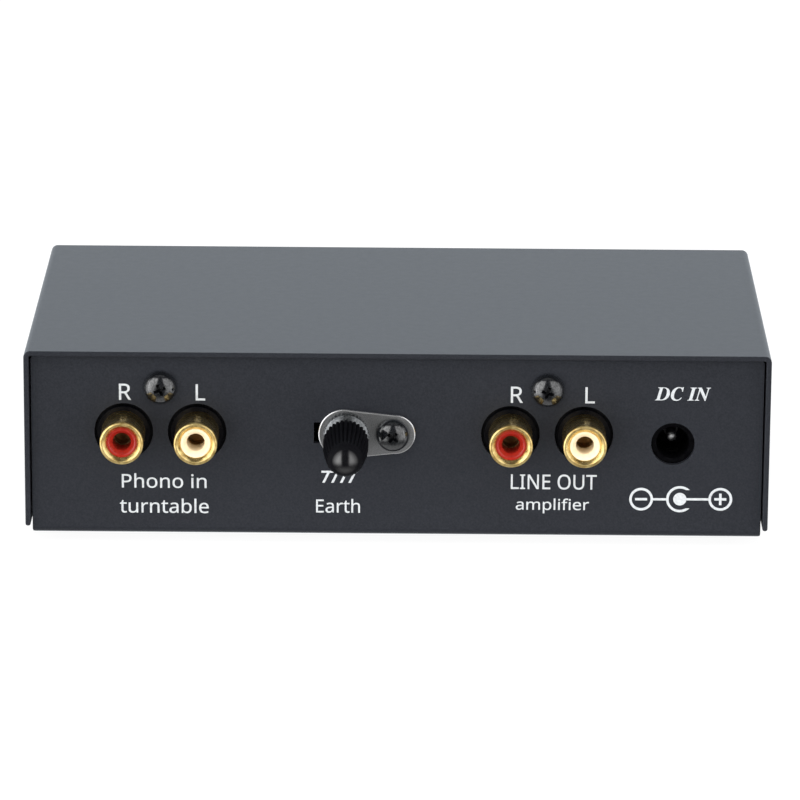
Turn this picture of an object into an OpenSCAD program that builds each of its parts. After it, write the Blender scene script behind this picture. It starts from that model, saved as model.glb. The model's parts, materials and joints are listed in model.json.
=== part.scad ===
// Phono preamplifier in a folded steel case. One panel carries two pairs of phono
// jacks, a ground terminal with a knurled nut and a power inlet; the other carries
// a power light. Millimetres, with X along the case, Y away from the connector
// panel and Z up. The origin is on the floor under the middle of the whole part.

/* [Case] */
// Width over the sides of the cover
case_w = 142; // [134:1:170]
// Depth of the cover from rim to rim
case_d = 80; // [74:1:110]
// Height from the underside of the tray to the top of the cover
case_h = 36.5; // [35.5:0.5:50]
// Thickness of the tray's sheet
tray_t = 1.0; // [0.8:0.1:1.5]
// Inside radius of the tray's bends
tray_bend_in = 0.5; // [0.3:0.1:1.5]
// Thickness of the cover's sheet
cover_t = 1.0; // [0.8:0.1:1.5]
// Inside radius of the cover's bends
cover_bend_in = 0.3; // [0.2:0.1:2]
// Clearance between the tray and the cover
cover_gap = 0.3; // [0.1:0.05:0.4]
// Height of the cover's lower edges over the underside of the tray
cover_lift = 1.8; // [0.5:0.1:3]
// Depth of the panels behind the rim of the cover
panel_recess = 1.3; // [0.5:0.1:2.5]

/* [Cover fixing] */
// Height of the cover's screws over the underside of the tray
cover_screw_z = 8; // [7:0.5:12]
// Length of the tray's side tabs along the case
side_tab_len = 14; // [10:1:20]
// Height of the tray's side tabs
side_tab_h = 13; // [12:0.5:16]
// Width of the bend relief beside each tab
relief_w = 1.5; // [1:0.1:3]
// How far the bend relief reaches in from the tray's edge
relief_d = 3; // [2.5:0.5:5]

/* [Feet] */
// Diameter of the rubber feet
foot_dia = 9; // [7:0.5:14]
// Height of the rubber feet
foot_h = 2; // [1.5:0.5:5]
// Distance of the feet's centres from the edges of the cover
foot_inset = 13; // [9:1:20]

/* [Circuit board] */
// Thickness of the board
board_t = 1.6; // [1:0.1:2]
// Gap between the board and the tray's walls
board_gap = 0.8; // [0.5:0.1:0.9]
// Distance of the mounting holes from the board's edges
board_hole_inset = 4.5; // [4:0.5:5]
// Width across the flats of the standoffs
standoff_flats = 5; // [4.5:0.5:6]
// Clearance between parts that are pressed or screwed together
seat_gap = 0.05; // [0.02:0.01:0.1]
// Clearance of holes around screws and pins
hole_gap = 0.2; // [0.1:0.05:0.3]

/* [Screws] */
// Diameter of the screws
screw_dia = 3; // [2.5:0.1:3.2]
// Diameter of the pan heads
head_dia = 6.3; // [5.5:0.1:7]
// Height of the pan heads
head_h = 2.3; // [1.8:0.1:2.8]
// Width of the arms of the cross recess
recess_w = 0.9; // [0.6:0.1:1.2]
// Length of the arms of the cross recess from tip to tip
recess_len = 3.6; // [2.8:0.1:4.4]
// Depth of the cross recess
recess_depth = 1.3; // [0.8:0.1:1.6]

/* [Phono jacks] */
// Distance of the jacks' axes below the top of the cover
jack_drop = 16.05; // [15:0.05:17]
// Distance of the input pair's centre from the left side of the cover
input_inset = 25.9; // [24.5:0.1:28]
// Distance of the output pair's centre from the right side of the cover
output_inset = 42.4; // [40:0.1:44]
// Distance between the two jacks of a pair
jack_pitch = 14; // [13:0.5:15]
// Height of the jacks' axes over the board
jack_rise = 8.35; // [7.5:0.05:10]
// How far the jacks stand out of the panel
jack_reach = 8.35; // [7.5:0.05:10]
// Outside diameter of the plated sleeves
sleeve_dia = 8.3; // [8:0.1:8.6]
// Wall of the plated sleeves
sleeve_wall = 0.5; // [0.4:0.05:0.6]
// Step in the sleeves where they enter the bosses
sleeve_step = 0.2; // [0.1:0.05:0.25]
// Inside diameter of the rolled lip
lip_dia = 5.7; // [5.2:0.1:6.4]
// Diameter of the moulded bosses in the panel holes
boss_dia = 9.9; // [9.5:0.1:10.6]
// Clearance of the panel holes around the bosses
boss_gap = 0.65; // [0.3:0.05:0.8]
// How far the bosses stand out of the panel
boss_proud = 0.2; // [0.1:0.05:0.3]
// Depth of the moulded housings behind the panel
housing_d = 10.5; // [9:0.5:13]
// Width of the housing round each jack
housing_w = 12.4; // [12:0.1:13]
// Height of the housing over the jacks' axes
housing_top = 6.3; // [5.8:0.1:6.5]
// Height of the fixing screw over the jacks' axes
jack_screw_rise = 8.8; // [8.5:0.05:9.6]
// Width of the screw tab
tab_w = 8; // [7:0.5:10]
// Diameter of the centre hole in the insulators
pin_hole_dia = 3.4; // [3.3:0.05:3.6]
// Bore of the centre contacts, which grip the plug's pin
contact_bore_dia = 3.25; // [3.2:0.05:3.3]

/* [Power inlet] */
// Distance of the inlet's axis from the right side of the cover
inlet_inset = 18.4; // [17:0.1:19.5]
// Height of the inlet's axis over the board
inlet_rise = 6.65; // [6:0.05:7.5]
// Diameter of the hole in the panel
inlet_hole_dia = 8.3; // [7.5:0.1:9]
// Bore of the inlet
inlet_bore_dia = 6.3; // [6.1:0.1:6.5]
// Depth of the bore behind the panel
inlet_bore_depth = 9.5; // [9:0.5:10.5]
// Diameter of the centre pin
inlet_pin_dia = 2.0; // [1.6:0.1:2.5]
// Diameter of the pin's root, which is riveted in the body
inlet_root_dia = 2.8; // [2.6:0.1:3]
// Distance of the pin's tip behind the face of the panel
inlet_pin_setback = 4.8; // [4.6:0.1:6]
// Width of the inlet's body
inlet_w = 9; // [8.5:0.1:10]
// Depth of the inlet's body
inlet_d = 14; // [13:0.5:16]
// Height of the inlet's body over its axis
inlet_top = 4.35; // [4:0.05:5]

/* [Ground terminal] */
// Post along the panel
ground_x = -9.65; // [-11:0.05:-9]
// Distance from the post to the screw of the strap
strap_pitch = 8.85; // [8.5:0.05:10]
// Radius of the strap's end round the post
strap_post_r = 4.95; // [4.8:0.05:5.5]
// Radius of the strap's end round the screw
strap_screw_r = 3.9; // [3.8:0.05:4.2]
// Distance of the strap's round ends outside its two holes
strap_overhang = 0.45; // [0.2:0.05:0.6]
// Thickness of the strap
strap_t = 1.0; // [0.8:0.1:1.5]
// Length of the slot in the panel
slot_len = 12.4; // [11.8:0.1:13]
// Height of the slot in the panel
slot_h = 4.1; // [4.05:0.05:4.4]
// Diameter of the post
post_dia = 3.95; // [3.6:0.05:4]
// Pitch of the post's thread
thread_pitch = 0.7; // [0.5:0.05:0.8]
// Diameter of the post's serrated collar
collar_dia = 8.9; // [8:0.1:9.4]
// Thickness of the post's collar
collar_t = 1.7; // [1.4:0.1:2.5]
// Serrations of the collar
collar_teeth = 36; // [24:2:40]
// Height of the collar's coned face
collar_cone_h = 0.5; // [0.2:0.1:1]
// Diameter of the flat land inside the coned face
collar_land_dia = 5.8; // [5:0.2:7]
// Width across the flats of the post's inner nut
nut_flats = 7; // [6.5:0.5:8]
// Thickness of the inner nut
nut_t = 3.2; // [2.4:0.1:3.6]

/* [Ground knob] */
// Open gap between the collar and the knob, where a wire goes
knob_gap = 2.8; // [2.7:0.1:3.5]
// Length of the knob
knob_len = 13.3; // [12.8:0.1:15]
// Diameter over the knob's teeth
knob_dia = 8.6; // [8.2:0.1:9]
// Diameter of the knob where its nose starts
knob_nose_dia = 7.3; // [7:0.1:7.8]
// Length of the toothed skirt
skirt_len = 5; // [3:0.1:7]
// Radius of the nose's crowned face
nose_face_r = 6; // [5:0.5:8]
// Radius of the nose's round edge
nose_edge_r = 2.2; // [1.5:0.1:3]
// Teeth round the knob
knob_teeth = 30; // [20:2:36]
// Depth of the teeth
tooth_depth = 0.45; // [0.2:0.05:0.5]
// Diameter of the threaded insert
insert_dia = 5.8; // [5.4:0.1:6.2]
// Running clearance of the insert round the post and in the knob
run_gap = 0.05; // [0.02:0.01:0.08]
// Turns that the knob closes from where it rests
turns_in = 3.5; // [3:0.25:3.5]
// Turns that the knob opens from where it rests
turns_out = 4.25; // [3:0.25:4.25]
// Thread that stays engaged with the knob fully open
engaged_len = 2.6; // [2:0.1:3]

/* [Power light] */
// Distance of the light from the left side of the cover
light_inset = 21; // [17:1:25]
// Height of the light over the board
light_rise = 5; // [4.5:0.5:8]
// Diameter of the light
light_dia = 3; // [3:0.1:3.5]
// Diameter of the clip's barrel
clip_dia = 4.8; // [4.6:0.1:5.4]
// Diameter of the clip's flange
flange_dia = 6.6; // [6.2:0.1:8]
// Thickness of the clip's flange
flange_t = 0.8; // [0.5:0.1:1]

/* [Components] */
// Length of the amplifier chips
chip_len = 9.8; // [9:0.1:11]
// Width of the amplifier chips
chip_w = 6.3; // [6:0.1:7]
// Height of the chips' bodies
chip_h = 3.3; // [3:0.1:4]
// Space under the chips' bodies
chip_lift = 0.5; // [0.3:0.1:1]
// Diameter of the coupling capacitors
small_cap_dia = 5; // [4:0.5:6.3]
// Height of the coupling capacitors
small_cap_h = 11; // [7:0.5:12]
// Diameter of the supply capacitors
big_cap_dia = 10; // [8:0.5:10.5]
// Height of the supply capacitors
big_cap_h = 16; // [11:0.5:17]
// Length of the film capacitors
film_len = 7.2; // [6:0.1:8]
// Width of the film capacitors
film_w = 3.5; // [2.5:0.1:4]
// Height of the film capacitors
film_h = 7.5; // [6:0.1:9]
// Length of the resistors' bodies
resistor_len = 6.3; // [5:0.1:6.8]
// Diameter of the resistors' bodies
resistor_dia = 2.3; // [1.8:0.1:2.5]
// Diameter of the components' leads
lead_dia = 0.6; // [0.5:0.05:0.8]
// Distance between neighbouring resistors
resistor_pitch = 4; // [3.5:0.1:4.5]

/* [Hidden] */
$fn = 48;

// Small amounts that are the same everywhere
lead_reach = 1.5;
tail_w = 1.2;
tail_t = 0.5;
cut_extra = 1;

// Tray and cover
tray_w = case_w - 2 * (cover_t + cover_gap);
tray_d = case_d - 2 * panel_recess;
tray_h = case_h - cover_t - cover_gap;
tray_bend_r = tray_bend_in + tray_t;
panel_corner_r = 0.8;
cover_screw_len = cover_t + cover_gap + tray_t + board_gap / 2;

// The knob stands out of the panel, so the middle of the part is not the case's
collar_front = strap_t + collar_t;
knob_back = collar_front + knob_gap;
knob_tip = knob_back + knob_len;
rim_y = (knob_tip - panel_recess - case_d) / 2;
panel_y = rim_y + panel_recess;
far_panel_y = panel_y + tray_d;
mid_y = rim_y + case_d / 2;

// Board, hung from the jacks that have to line up with the panel
board_w = tray_w - 2 * (tray_t + board_gap);
board_d = tray_d - 2 * (tray_t + board_gap);
jack_z = case_h - jack_drop;
board_top = jack_z - jack_rise;
board_z = board_top - board_t;
board_rise = board_z - tray_t;
board_hole_x = board_w / 2 - board_hole_inset;
board_hole_y = board_d / 2 - board_hole_inset;

// Screws and their holes
screw_r = screw_dia / 2;
screw_hole_r = screw_r + hole_gap;
pilot_r = screw_r + seat_gap;

// Phono jacks, with distances counted out of the panel's face
input_x = input_inset - case_w / 2;
output_x = case_w / 2 - output_inset;
sleeve_r = sleeve_dia / 2;
sleeve_bore_r = sleeve_r - sleeve_wall;
bead_r = 0.38;
bevel_d = 0.65;
insulator_r = sleeve_bore_r - seat_gap;
sleeve_hold = 5;
sleeve_root = tray_t + sleeve_hold;
insulator_face = jack_reach - bevel_d - seat_gap;
dish_r = 2.1;
dish_depth = 1.8;
dish_floor = jack_reach - dish_depth;
pin_hole_r = pin_hole_dia / 2;
contact_bore_r = contact_bore_dia / 2;
contact_wall = 0.5;
contact_r = pin_hole_r + contact_wall;
contact_setback = 5.3;
contact_front = jack_reach - contact_setback;
contact_bore_len = 2.7;
contact_back = contact_front - contact_bore_len;
contact_root = -(sleeve_root - seat_gap);
tail_end = -(jack_rise + board_t + lead_reach);
housing_back = tray_t + housing_d;
housing_tab_d = 6;
jack_screw_len = 7;

// Power inlet
inlet_x = case_w / 2 - inlet_inset;
inlet_z = board_top + inlet_rise;
inlet_bore_floor = -(tray_t + inlet_bore_depth);
inlet_back = -(tray_t + inlet_d);
inlet_tag_end = -(inlet_rise + board_t + lead_reach);
inlet_leaf_len = 5;

// Ground terminal, in line with the jacks
ground_z = jack_z;
post_r = post_dia / 2;
collar_depth = 0.2;
collar_ledge = 0.05;
lug_t = 0.6;
lug_r = 4;
lug_tail_w = 2.4;
lug_foot_len = 5;
thread_end = 1.2;
post_back = tray_t + lug_t + nut_t + thread_end;
strap_screw_x = ground_x + strap_pitch;
strap_waist = 0.05;
strap_nut_flats = 5.5;
strap_nut_t = 2.4;
strap_screw_len = 6;

// Knob, with the insert set back a little inside its skirt
insert_setback = 0.3;
insert_r = insert_dia / 2;
insert_back = knob_back + insert_setback;
travel_in = turns_in * thread_pitch;
travel_out = turns_out * thread_pitch;
tip_gap = 0.4;
insert_len = engaged_len + travel_out + travel_in + tip_gap;
insert_front = insert_back + insert_len;
post_tip = insert_front - travel_in - tip_gap;
knob_r = knob_dia / 2;
tooth_land = 0.04;
knob_nose_r = knob_nose_dia / 2;
skirt_chamfer = 0.2;
nose_edge_x = knob_nose_r - nose_edge_r;
nose_drop = sqrt(pow(nose_face_r - nose_edge_r, 2) - pow(nose_edge_x, 2));
taper_end = knob_len - nose_face_r + nose_drop;

// Power light, whose dome ends a little behind the rim of the cover
light_x = light_inset - case_w / 2;
light_z = board_top + light_rise;
light_r = light_dia / 2;
light_setback = 0.2;
light_dome_z = panel_recess - light_setback - light_r;
light_base_r = light_r + 0.4;
light_base_t = 1;
clip_r = clip_dia / 2;
clip_len = 5;
light_leg = 1.27;
light_run = 3;

// Components, placed from the middle of the board
input_chip = [input_x, -4];
output_chip = [output_x, -4];
leg_pitch = 2.54;
leg_t = 0.3;
leg_w = 0.5;
chip_row = 3.81;
chip_row_legs = 4;
film_y = 8;
film_step = 6;
film_count = 3;
small_cap_y = 17;
small_cap_step = 9;
big_cap_x = inlet_x;
big_cap_spots = [0, 13];
cap_vent_w = 0.4;
cap_vent_depth = 0.3;
cap_groove_r = 0.35;
cap_groove_z = 2;
resistor_y = -15.5;
lead_span = 10;
resistor_lift = 0.5;
resistor_count = 5;
resistor_waist = 0.2;
coil_spot = [-9, 4];
coil_r = 4.2;
coil_core_r = 3.4;
coil_flange = 1.2;
coil_waist = 5;
supply_step = 11.6;
regulator_spot = [inlet_x - supply_step, 12];
regulator_w = 4.6;
regulator_d = 3.6;
regulator_h = 4.8;
regulator_lift = 3;
diode_spot = [inlet_x - supply_step, -2];
diode_len = 5;
diode_dia = 2.7;

// ---------------------------------------------------------------- placing

// Children are drawn with Z out of the connector panel's face, X along it and Y up it
module on_panel(x, z) {
    translate([x, panel_y, foot_h + z])
        rotate([90, 0, 0])
            children();
}

// Children are drawn with Z out of the far panel's face
module on_far_panel(x, z) {
    translate([x, far_panel_y, foot_h + z])
        rotate([-90, 0, 0])
            children();
}

// Children stand on the board, counted from its middle
module on_board(x, y) {
    translate([x, mid_y + y, foot_h + board_top])
        children();
}

// Children are repeated at the board's four mounting holes
module at_board_holes(z) {
    for (sx = [-1, 1])
        for (sy = [-1, 1])
            translate([sx * board_hole_x, mid_y + sy * board_hole_y, foot_h + z])
                children();
}

// Children are drawn on the right-hand side, and repeated on the left
module both_sides() {
    children();
    mirror([1, 0, 0])
        children();
}

// ---------------------------------------------------------------- shared shapes

// A sheet folded twice into an open U, centred on X and standing on Y = 0
module folded_u(w, h, t, bend_in) {
    r = bend_in + t;
    difference() {
        union() {
            translate([-w / 2, r])
                square([w, h - r]);
            translate([-w / 2 + r, 0])
                square([w - 2 * r, r]);
            for (s = [-1, 1])
                translate([s * (w / 2 - r), r])
                    circle(r);
        }
        translate([-w / 2 + t, r])
            square([w - 2 * t, h]);
        translate([-w / 2 + r, t])
            square([w - 2 * r, r]);
        for (s = [-1, 1])
            translate([s * (w / 2 - r), r])
                circle(bend_in);
    }
}

// A ring of pointed teeth between two radii
function toothed_ring(n, r_tip, depth) = [
    for (i = [0 : 2 * n - 1])
        let (r = r_tip - (i % 2) * depth)
            [r * cos(180 * i / n), r * sin(180 * i / n)]
];

// A pan-head screw with a cross recess: the head starts at Z = 0 and the shank runs down
module pan_screw(shank_len) {
    dome_r = (head_dia * head_dia / 4 + head_h * head_h) / (2 * head_h);
    difference() {
        union() {
            intersection() {
                cylinder(h = head_h, d = head_dia);
                translate([0, 0, head_h - dome_r])
                    sphere(dome_r);
            }
            translate([0, 0, -shank_len])
                cylinder(h = shank_len, r = screw_r);
        }
        for (a = [0, 90])
            rotate(a)
                translate([-recess_len / 2, -recess_w / 2, head_h - recess_depth])
                    cube([recess_len, recess_w, head_h]);
    }
}

// A hexagon nut from Z = 0 down, with a plain bore
module hex_nut(flats, t, bore_r) {
    translate([0, 0, -t])
        difference() {
            cylinder(h = t, d = flats / cos(30), $fn = 6);
            translate([0, 0, -cut_extra])
                cylinder(h = t + 2 * cut_extra, r = bore_r);
        }
}

// ---------------------------------------------------------------- case

module cover() color([0.25, 0.26, 0.28]) {
    difference() {
        translate([0, rim_y + case_d, foot_h + case_h])
            rotate([90, 0, 0])
                linear_extrude(case_d)
                    mirror([0, 1])
                        folded_u(case_w, case_h - cover_lift, cover_t, cover_bend_in);
        both_sides()
            cover_screw_axis(-2 * cover_t)
                cylinder(h = 3 * cover_t, r = screw_hole_r);
    }
}

// Children are drawn with Z out of the cover's side, starting that far from its face
module cover_screw_axis(start) {
    translate([case_w / 2 + start, mid_y, foot_h + cover_screw_z])
        rotate([0, 90, 0])
            children();
}

module tray() color([0.2, 0.21, 0.23]) {
    difference() {
        union() {
            difference() {
                tray_fold();
                both_sides()
                    side_tab_notch();
                for (y = [panel_y, far_panel_y - tray_bend_r])
                    both_sides()
                        panel_foot_corner(y);
            }
            both_sides()
                side_tab();
        }
        tray_panel_holes();
    }
}

// The floor and the two panels, with the panels' top corners rounded as far as the cover's bends
module tray_fold() {
    intersection() {
        translate([-tray_w / 2, mid_y, foot_h])
            rotate([90, 0, 90])
                linear_extrude(tray_w)
                    folded_u(tray_d, tray_h, tray_t, tray_bend_in);
        translate([0, mid_y + tray_d, foot_h])
            rotate([90, 0, 0])
                linear_extrude(2 * tray_d)
                    panel_outline();
    }
}

module panel_outline() {
    r = cover_bend_in + cover_gap;
    translate([-tray_w / 2, -cut_extra])
        square([tray_w, tray_h - r + cut_extra]);
    translate([-tray_w / 2 + r, 0])
        square([tray_w - 2 * r, tray_h]);
    for (s = [-1, 1])
        translate([s * (tray_w / 2 - r), tray_h - r])
            circle(r);
}

// What rounds a panel's lower corner, over the depth of its bend
module panel_foot_corner(y) {
    r = panel_corner_r;
    translate([tray_w / 2 - r, y - cut_extra, foot_h + r])
        difference() {
            translate([0, 0, -r - cut_extra])
                cube([r + cut_extra, tray_bend_r + cut_extra, r + cut_extra]);
            rotate([-90, 0, 0])
                cylinder(h = tray_bend_r + 2 * cut_extra, r = r);
        }
}

// The edge of the floor gives way to the tab and to the relief on each side of it
module side_tab_notch() {
    len = side_tab_len + 2 * relief_w;
    translate([tray_w / 2 - relief_d, mid_y - len / 2, foot_h - cut_extra])
        cube([relief_d + cut_extra, len, tray_t + 2 * cut_extra]);
}

module side_tab() {
    r = tray_bend_r;
    difference() {
        translate([0, mid_y + side_tab_len / 2, foot_h])
            rotate([90, 0, 0])
                linear_extrude(side_tab_len)
                    intersection() {
                        folded_u(tray_w, side_tab_h, tray_t, tray_bend_in);
                        translate([tray_w / 2 - relief_d, 0])
                            square([relief_d, side_tab_h]);
                    }
        cover_screw_axis(-(cover_t + cover_gap + 2 * tray_t))
            cylinder(h = 3 * tray_t, r = pilot_r);
    }
}

module tray_panel_holes() {
    depth = tray_t + 2 * cut_extra;
    for (x = [input_x, output_x])
        on_panel(x, jack_z)
            translate([0, 0, cut_extra - depth]) {
                for (s = [-1, 1])
                    translate([s * jack_pitch / 2, 0])
                        cylinder(h = depth, r = boss_dia / 2 + boss_gap);
                translate([0, jack_screw_rise])
                    cylinder(h = depth, r = screw_hole_r);
            }
    on_panel(inlet_x, inlet_z)
        translate([0, 0, cut_extra - depth])
            cylinder(h = depth, d = inlet_hole_dia);
    on_panel(ground_x, ground_z)
        translate([-slot_len / 2, -slot_h / 2, cut_extra - depth])
            cube([slot_len, slot_h, depth]);
    on_panel(strap_screw_x, ground_z)
        translate([0, 0, cut_extra - depth])
            cylinder(h = depth, r = screw_hole_r);
    on_far_panel(light_x, light_z)
        translate([0, 0, cut_extra - depth])
            cylinder(h = depth, r = clip_r + seat_gap);
}

module cover_screws() color([0.09, 0.09, 0.1]) {
    both_sides()
        cover_screw_axis(0)
            pan_screw(cover_screw_len);
}

module rubber_feet() color([0.08, 0.08, 0.08]) {
    for (sx = [-1, 1])
        for (sy = [-1, 1])
            translate([sx * (case_w / 2 - foot_inset), mid_y + sy * (case_d / 2 - foot_inset), 0])
                cylinder(h = foot_h, d1 = foot_dia - foot_h / 2, d2 = foot_dia);
}

// ---------------------------------------------------------------- circuit board

module circuit_board() color([0.1, 0.35, 0.18]) {
    difference() {
        translate([-board_w / 2, mid_y - board_d / 2, foot_h + board_z])
            cube([board_w, board_d, board_t]);
        at_board_holes(board_z - cut_extra)
            cylinder(h = board_t + 2 * cut_extra, r = screw_hole_r);
        for (x = [input_x, output_x])
            for (s = [-1, 1])
                for (back = [housing_back + tail_t / 2, sleeve_root - tail_t / 2])
                    tail_hole(x + s * jack_pitch / 2, back);
        tail_hole(inlet_x, tail_t / 2 - inlet_back);
        tail_hole(inlet_x, -inlet_bore_floor - tail_t / 2);
    }
}

// A round hole through the board for a tail, that far behind the panel's face
module tail_hole(x, back) {
    translate([x, panel_y + back, foot_h + board_z - cut_extra])
        cylinder(h = board_t + 2 * cut_extra, d = tail_w + 2 * hole_gap);
}

module board_standoffs() color([0.75, 0.75, 0.72]) {
    at_board_holes(tray_t)
        difference() {
            cylinder(h = board_rise, d = standoff_flats / cos(30), $fn = 6);
            translate([0, 0, board_rise / 3])
                cylinder(h = board_rise, r = pilot_r);
        }
}

module board_screws() color([0.7, 0.7, 0.72]) {
    at_board_holes(board_top)
        pan_screw(board_t + board_rise / 2);
}

// ---------------------------------------------------------------- phono jacks

module jack_housing(x) {
    w = jack_pitch + housing_w;
    tab_top = jack_screw_rise + head_dia / 2;
    on_panel(x, jack_z)
        difference() {
            union() {
                translate([-w / 2, -jack_rise, -housing_back])
                    cube([w, jack_rise + housing_top, housing_d]);
                translate([-tab_w / 2, 0, -tray_t - housing_tab_d])
                    cube([tab_w, tab_top, housing_tab_d]);
                for (s = [-1, 1])
                    translate([s * jack_pitch / 2, 0, -tray_t - cut_extra])
                        cylinder(h = tray_t + cut_extra + boss_proud, d = boss_dia);
            }
            for (s = [-1, 1])
                translate([s * jack_pitch / 2, 0])
                    jack_bore();
            translate([0, jack_screw_rise, -tray_t - housing_tab_d - cut_extra])
                cylinder(h = housing_tab_d + 2 * cut_extra, r = pilot_r);
        }
}

// The way through the housing for one sleeve, its tail and the contact's tail
module jack_bore() {
    tail_room = tail_w + 2 * seat_gap;
    translate([0, 0, -sleeve_root - seat_gap])
        cylinder(h = sleeve_root + jack_reach, r = sleeve_r - sleeve_step + seat_gap);
    translate([-tail_room / 2, -tail_room / 2, -housing_back - cut_extra])
        cube([tail_room, tail_room, housing_d]);
    translate([-tail_room / 2, -jack_rise - cut_extra, -sleeve_root - seat_gap])
        cube([tail_room, jack_rise + cut_extra, tail_t + 2 * seat_gap]);
}

// A plated tube whose front edge is rolled over and bevelled inwards, on a thinner root
module jack_sleeve(x) {
    lip_back = jack_reach - 2 * bevel_d;
    bead_x = sleeve_r - bead_r;
    on_panel(x, jack_z) {
        rotate_extrude() {
            translate([sleeve_bore_r, -sleeve_root])
                square([sleeve_wall - sleeve_step, sleeve_root + lip_back]);
            translate([sleeve_bore_r, boss_proud])
                square([sleeve_wall, jack_reach - bead_r - boss_proud]);
            translate([bead_x, jack_reach - bead_r])
                circle(bead_r);
            polygon([
                [bead_x, jack_reach],
                [lip_dia / 2 + bevel_d, jack_reach],
                [lip_dia / 2, jack_reach - bevel_d],
                [sleeve_bore_r, lip_back],
                [bead_x, lip_back]
            ]);
        }
        translate([-tail_w / 2, tail_end, -sleeve_root])
            cube([tail_w, -tail_end - sleeve_bore_r, tail_t]);
    }
}

// The moulded core, dished at the front and open at the back for the contact
module jack_insulator(x) {
    shoulder = jack_reach - 2 * bevel_d - seat_gap;
    on_panel(x, jack_z)
        rotate_extrude()
            polygon([
                [contact_r + seat_gap, contact_root],
                [insulator_r, contact_root],
                [insulator_r, shoulder],
                [lip_dia / 2 - seat_gap, insulator_face],
                [dish_r, insulator_face],
                [pin_hole_r, dish_floor],
                [pin_hole_r, contact_front + seat_gap],
                [contact_r + seat_gap, contact_front + seat_gap]
            ]);
}

// The tube that grips the plug's pin, closed behind, with a tail down through the board
module jack_contact(x) {
    on_panel(x, jack_z) {
        difference() {
            translate([0, 0, contact_root])
                cylinder(h = contact_front - contact_root, r = contact_r);
            translate([0, 0, contact_back])
                cylinder(h = contact_bore_len + cut_extra, r = contact_bore_r);
        }
        translate([-tail_w / 2, -tail_w / 2, -housing_back - tail_t])
            cube([tail_w, tail_w, housing_back + tail_t + contact_root]);
        translate([-tail_w / 2, tail_end, -housing_back - tail_t])
            cube([tail_w, tail_w / 2 - tail_end, tail_t]);
    }
}

module jack_screws() color([0.07, 0.07, 0.08]) {
    for (x = [input_x, output_x])
        on_panel(x, jack_z + jack_screw_rise)
            pan_screw(jack_screw_len);
}

// ---------------------------------------------------------------- power inlet

module inlet_body() color([0.06, 0.06, 0.07]) {
    on_panel(inlet_x, inlet_z)
        difference() {
            translate([-inlet_w / 2, -inlet_rise, inlet_back])
                cube([inlet_w, inlet_rise + inlet_top, inlet_d]);
            translate([0, 0, inlet_bore_floor])
                cylinder(h = cut_extra - inlet_bore_floor, d = inlet_bore_dia);
            translate([0, 0, inlet_back - cut_extra])
                cylinder(h = inlet_d, d = inlet_root_dia + 2 * seat_gap);
            inlet_spring_shape(seat_gap);
        }
}

// The pin on its thicker root, with a tag behind the body and down through the board
module inlet_pin() color([0.8, 0.8, 0.78]) {
    r = inlet_pin_dia / 2;
    root_back = inlet_back - tail_t;
    on_panel(inlet_x, inlet_z) {
        translate([0, 0, root_back])
            cylinder(h = inlet_bore_floor - root_back, d = inlet_root_dia);
        translate([0, 0, inlet_bore_floor - tail_t])
            cylinder(h = tail_t - inlet_bore_floor - inlet_pin_setback - r, r = r);
        translate([0, 0, -inlet_pin_setback - r])
            sphere(r);
        translate([-tail_w / 2, inlet_tag_end, root_back])
            cube([tail_w, -inlet_tag_end, tail_t]);
    }
}

// The leaf that presses on the plug's barrel, in a channel under the bore, and its tag
module inlet_spring_shape(grow) {
    r = inlet_bore_dia / 2;
    back = inlet_bore_floor - grow;
    len = inlet_leaf_len + 2 * grow;
    translate([-tail_w - grow, -r - tail_t - grow, back])
        cube([2 * (tail_w + grow), tail_t + lead_dia + 2 * grow, len]);
    translate([-tail_w / 2 - grow, inlet_tag_end, back])
        cube([tail_w + 2 * grow, -inlet_tag_end - r, tail_t + 2 * grow]);
}

module inlet_spring() color([0.78, 0.76, 0.7]) {
    on_panel(inlet_x, inlet_z)
        difference() {
            inlet_spring_shape(0);
            translate([0, 0, inlet_bore_floor - cut_extra])
                cylinder(h = inlet_bore_depth + 2 * cut_extra, d = inlet_bore_dia - tail_t);
        }
}

// ---------------------------------------------------------------- ground terminal

// A strap with a round end at each hole and straight sides between them
module ground_strap() color([0.7, 0.7, 0.68]) {
    on_panel(ground_x, ground_z)
        difference() {
            strap_outline(strap_t);
            translate([0, 0, -cut_extra])
                cylinder(h = strap_t + 2 * cut_extra, r = post_r + hole_gap);
            translate([strap_pitch, 0, -cut_extra])
                cylinder(h = strap_t + 2 * cut_extra, r = screw_hole_r);
        }
}

// The sides lean by the angle whose sine is the difference of the two radii over the
// distance between their centres, and are drawn in by a trace from touching both ends
module strap_outline(t) {
    span = strap_pitch + 2 * strap_overhang;
    lean = asin((strap_post_r - strap_screw_r) / span);
    side = [sin(lean), cos(lean)];
    other_side = [side[0], -side[1]];
    post_side = strap_post_r - strap_waist;
    screw_side = strap_screw_r - strap_waist;
    translate([-strap_overhang, 0]) {
        cylinder(h = t, r = strap_post_r);
        translate([span, 0])
            cylinder(h = t, r = strap_screw_r);
        linear_extrude(t)
            polygon([
                post_side * side,
                [span, 0] + screw_side * side,
                [span, 0] + screw_side * other_side,
                post_side * other_side
            ]);
    }
}

module ground_post() color([0.78, 0.78, 0.76]) {
    on_panel(ground_x, ground_z) {
        translate([0, 0, -post_back])
            cylinder(h = post_back + post_tip, r = post_r);
        translate([0, 0, strap_t])
            serrated_collar();
    }
}

// A ring of points under a coned face, which starts inside their roots
module serrated_collar() {
    flange_t = collar_t - collar_cone_h;
    cone_r = collar_dia / 2 - collar_depth - collar_ledge;
    linear_extrude(flange_t)
        polygon(toothed_ring(collar_teeth, collar_dia / 2, collar_depth));
    translate([0, 0, flange_t])
        cylinder(h = collar_cone_h, r1 = cone_r, r2 = collar_land_dia / 2);
}

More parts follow.
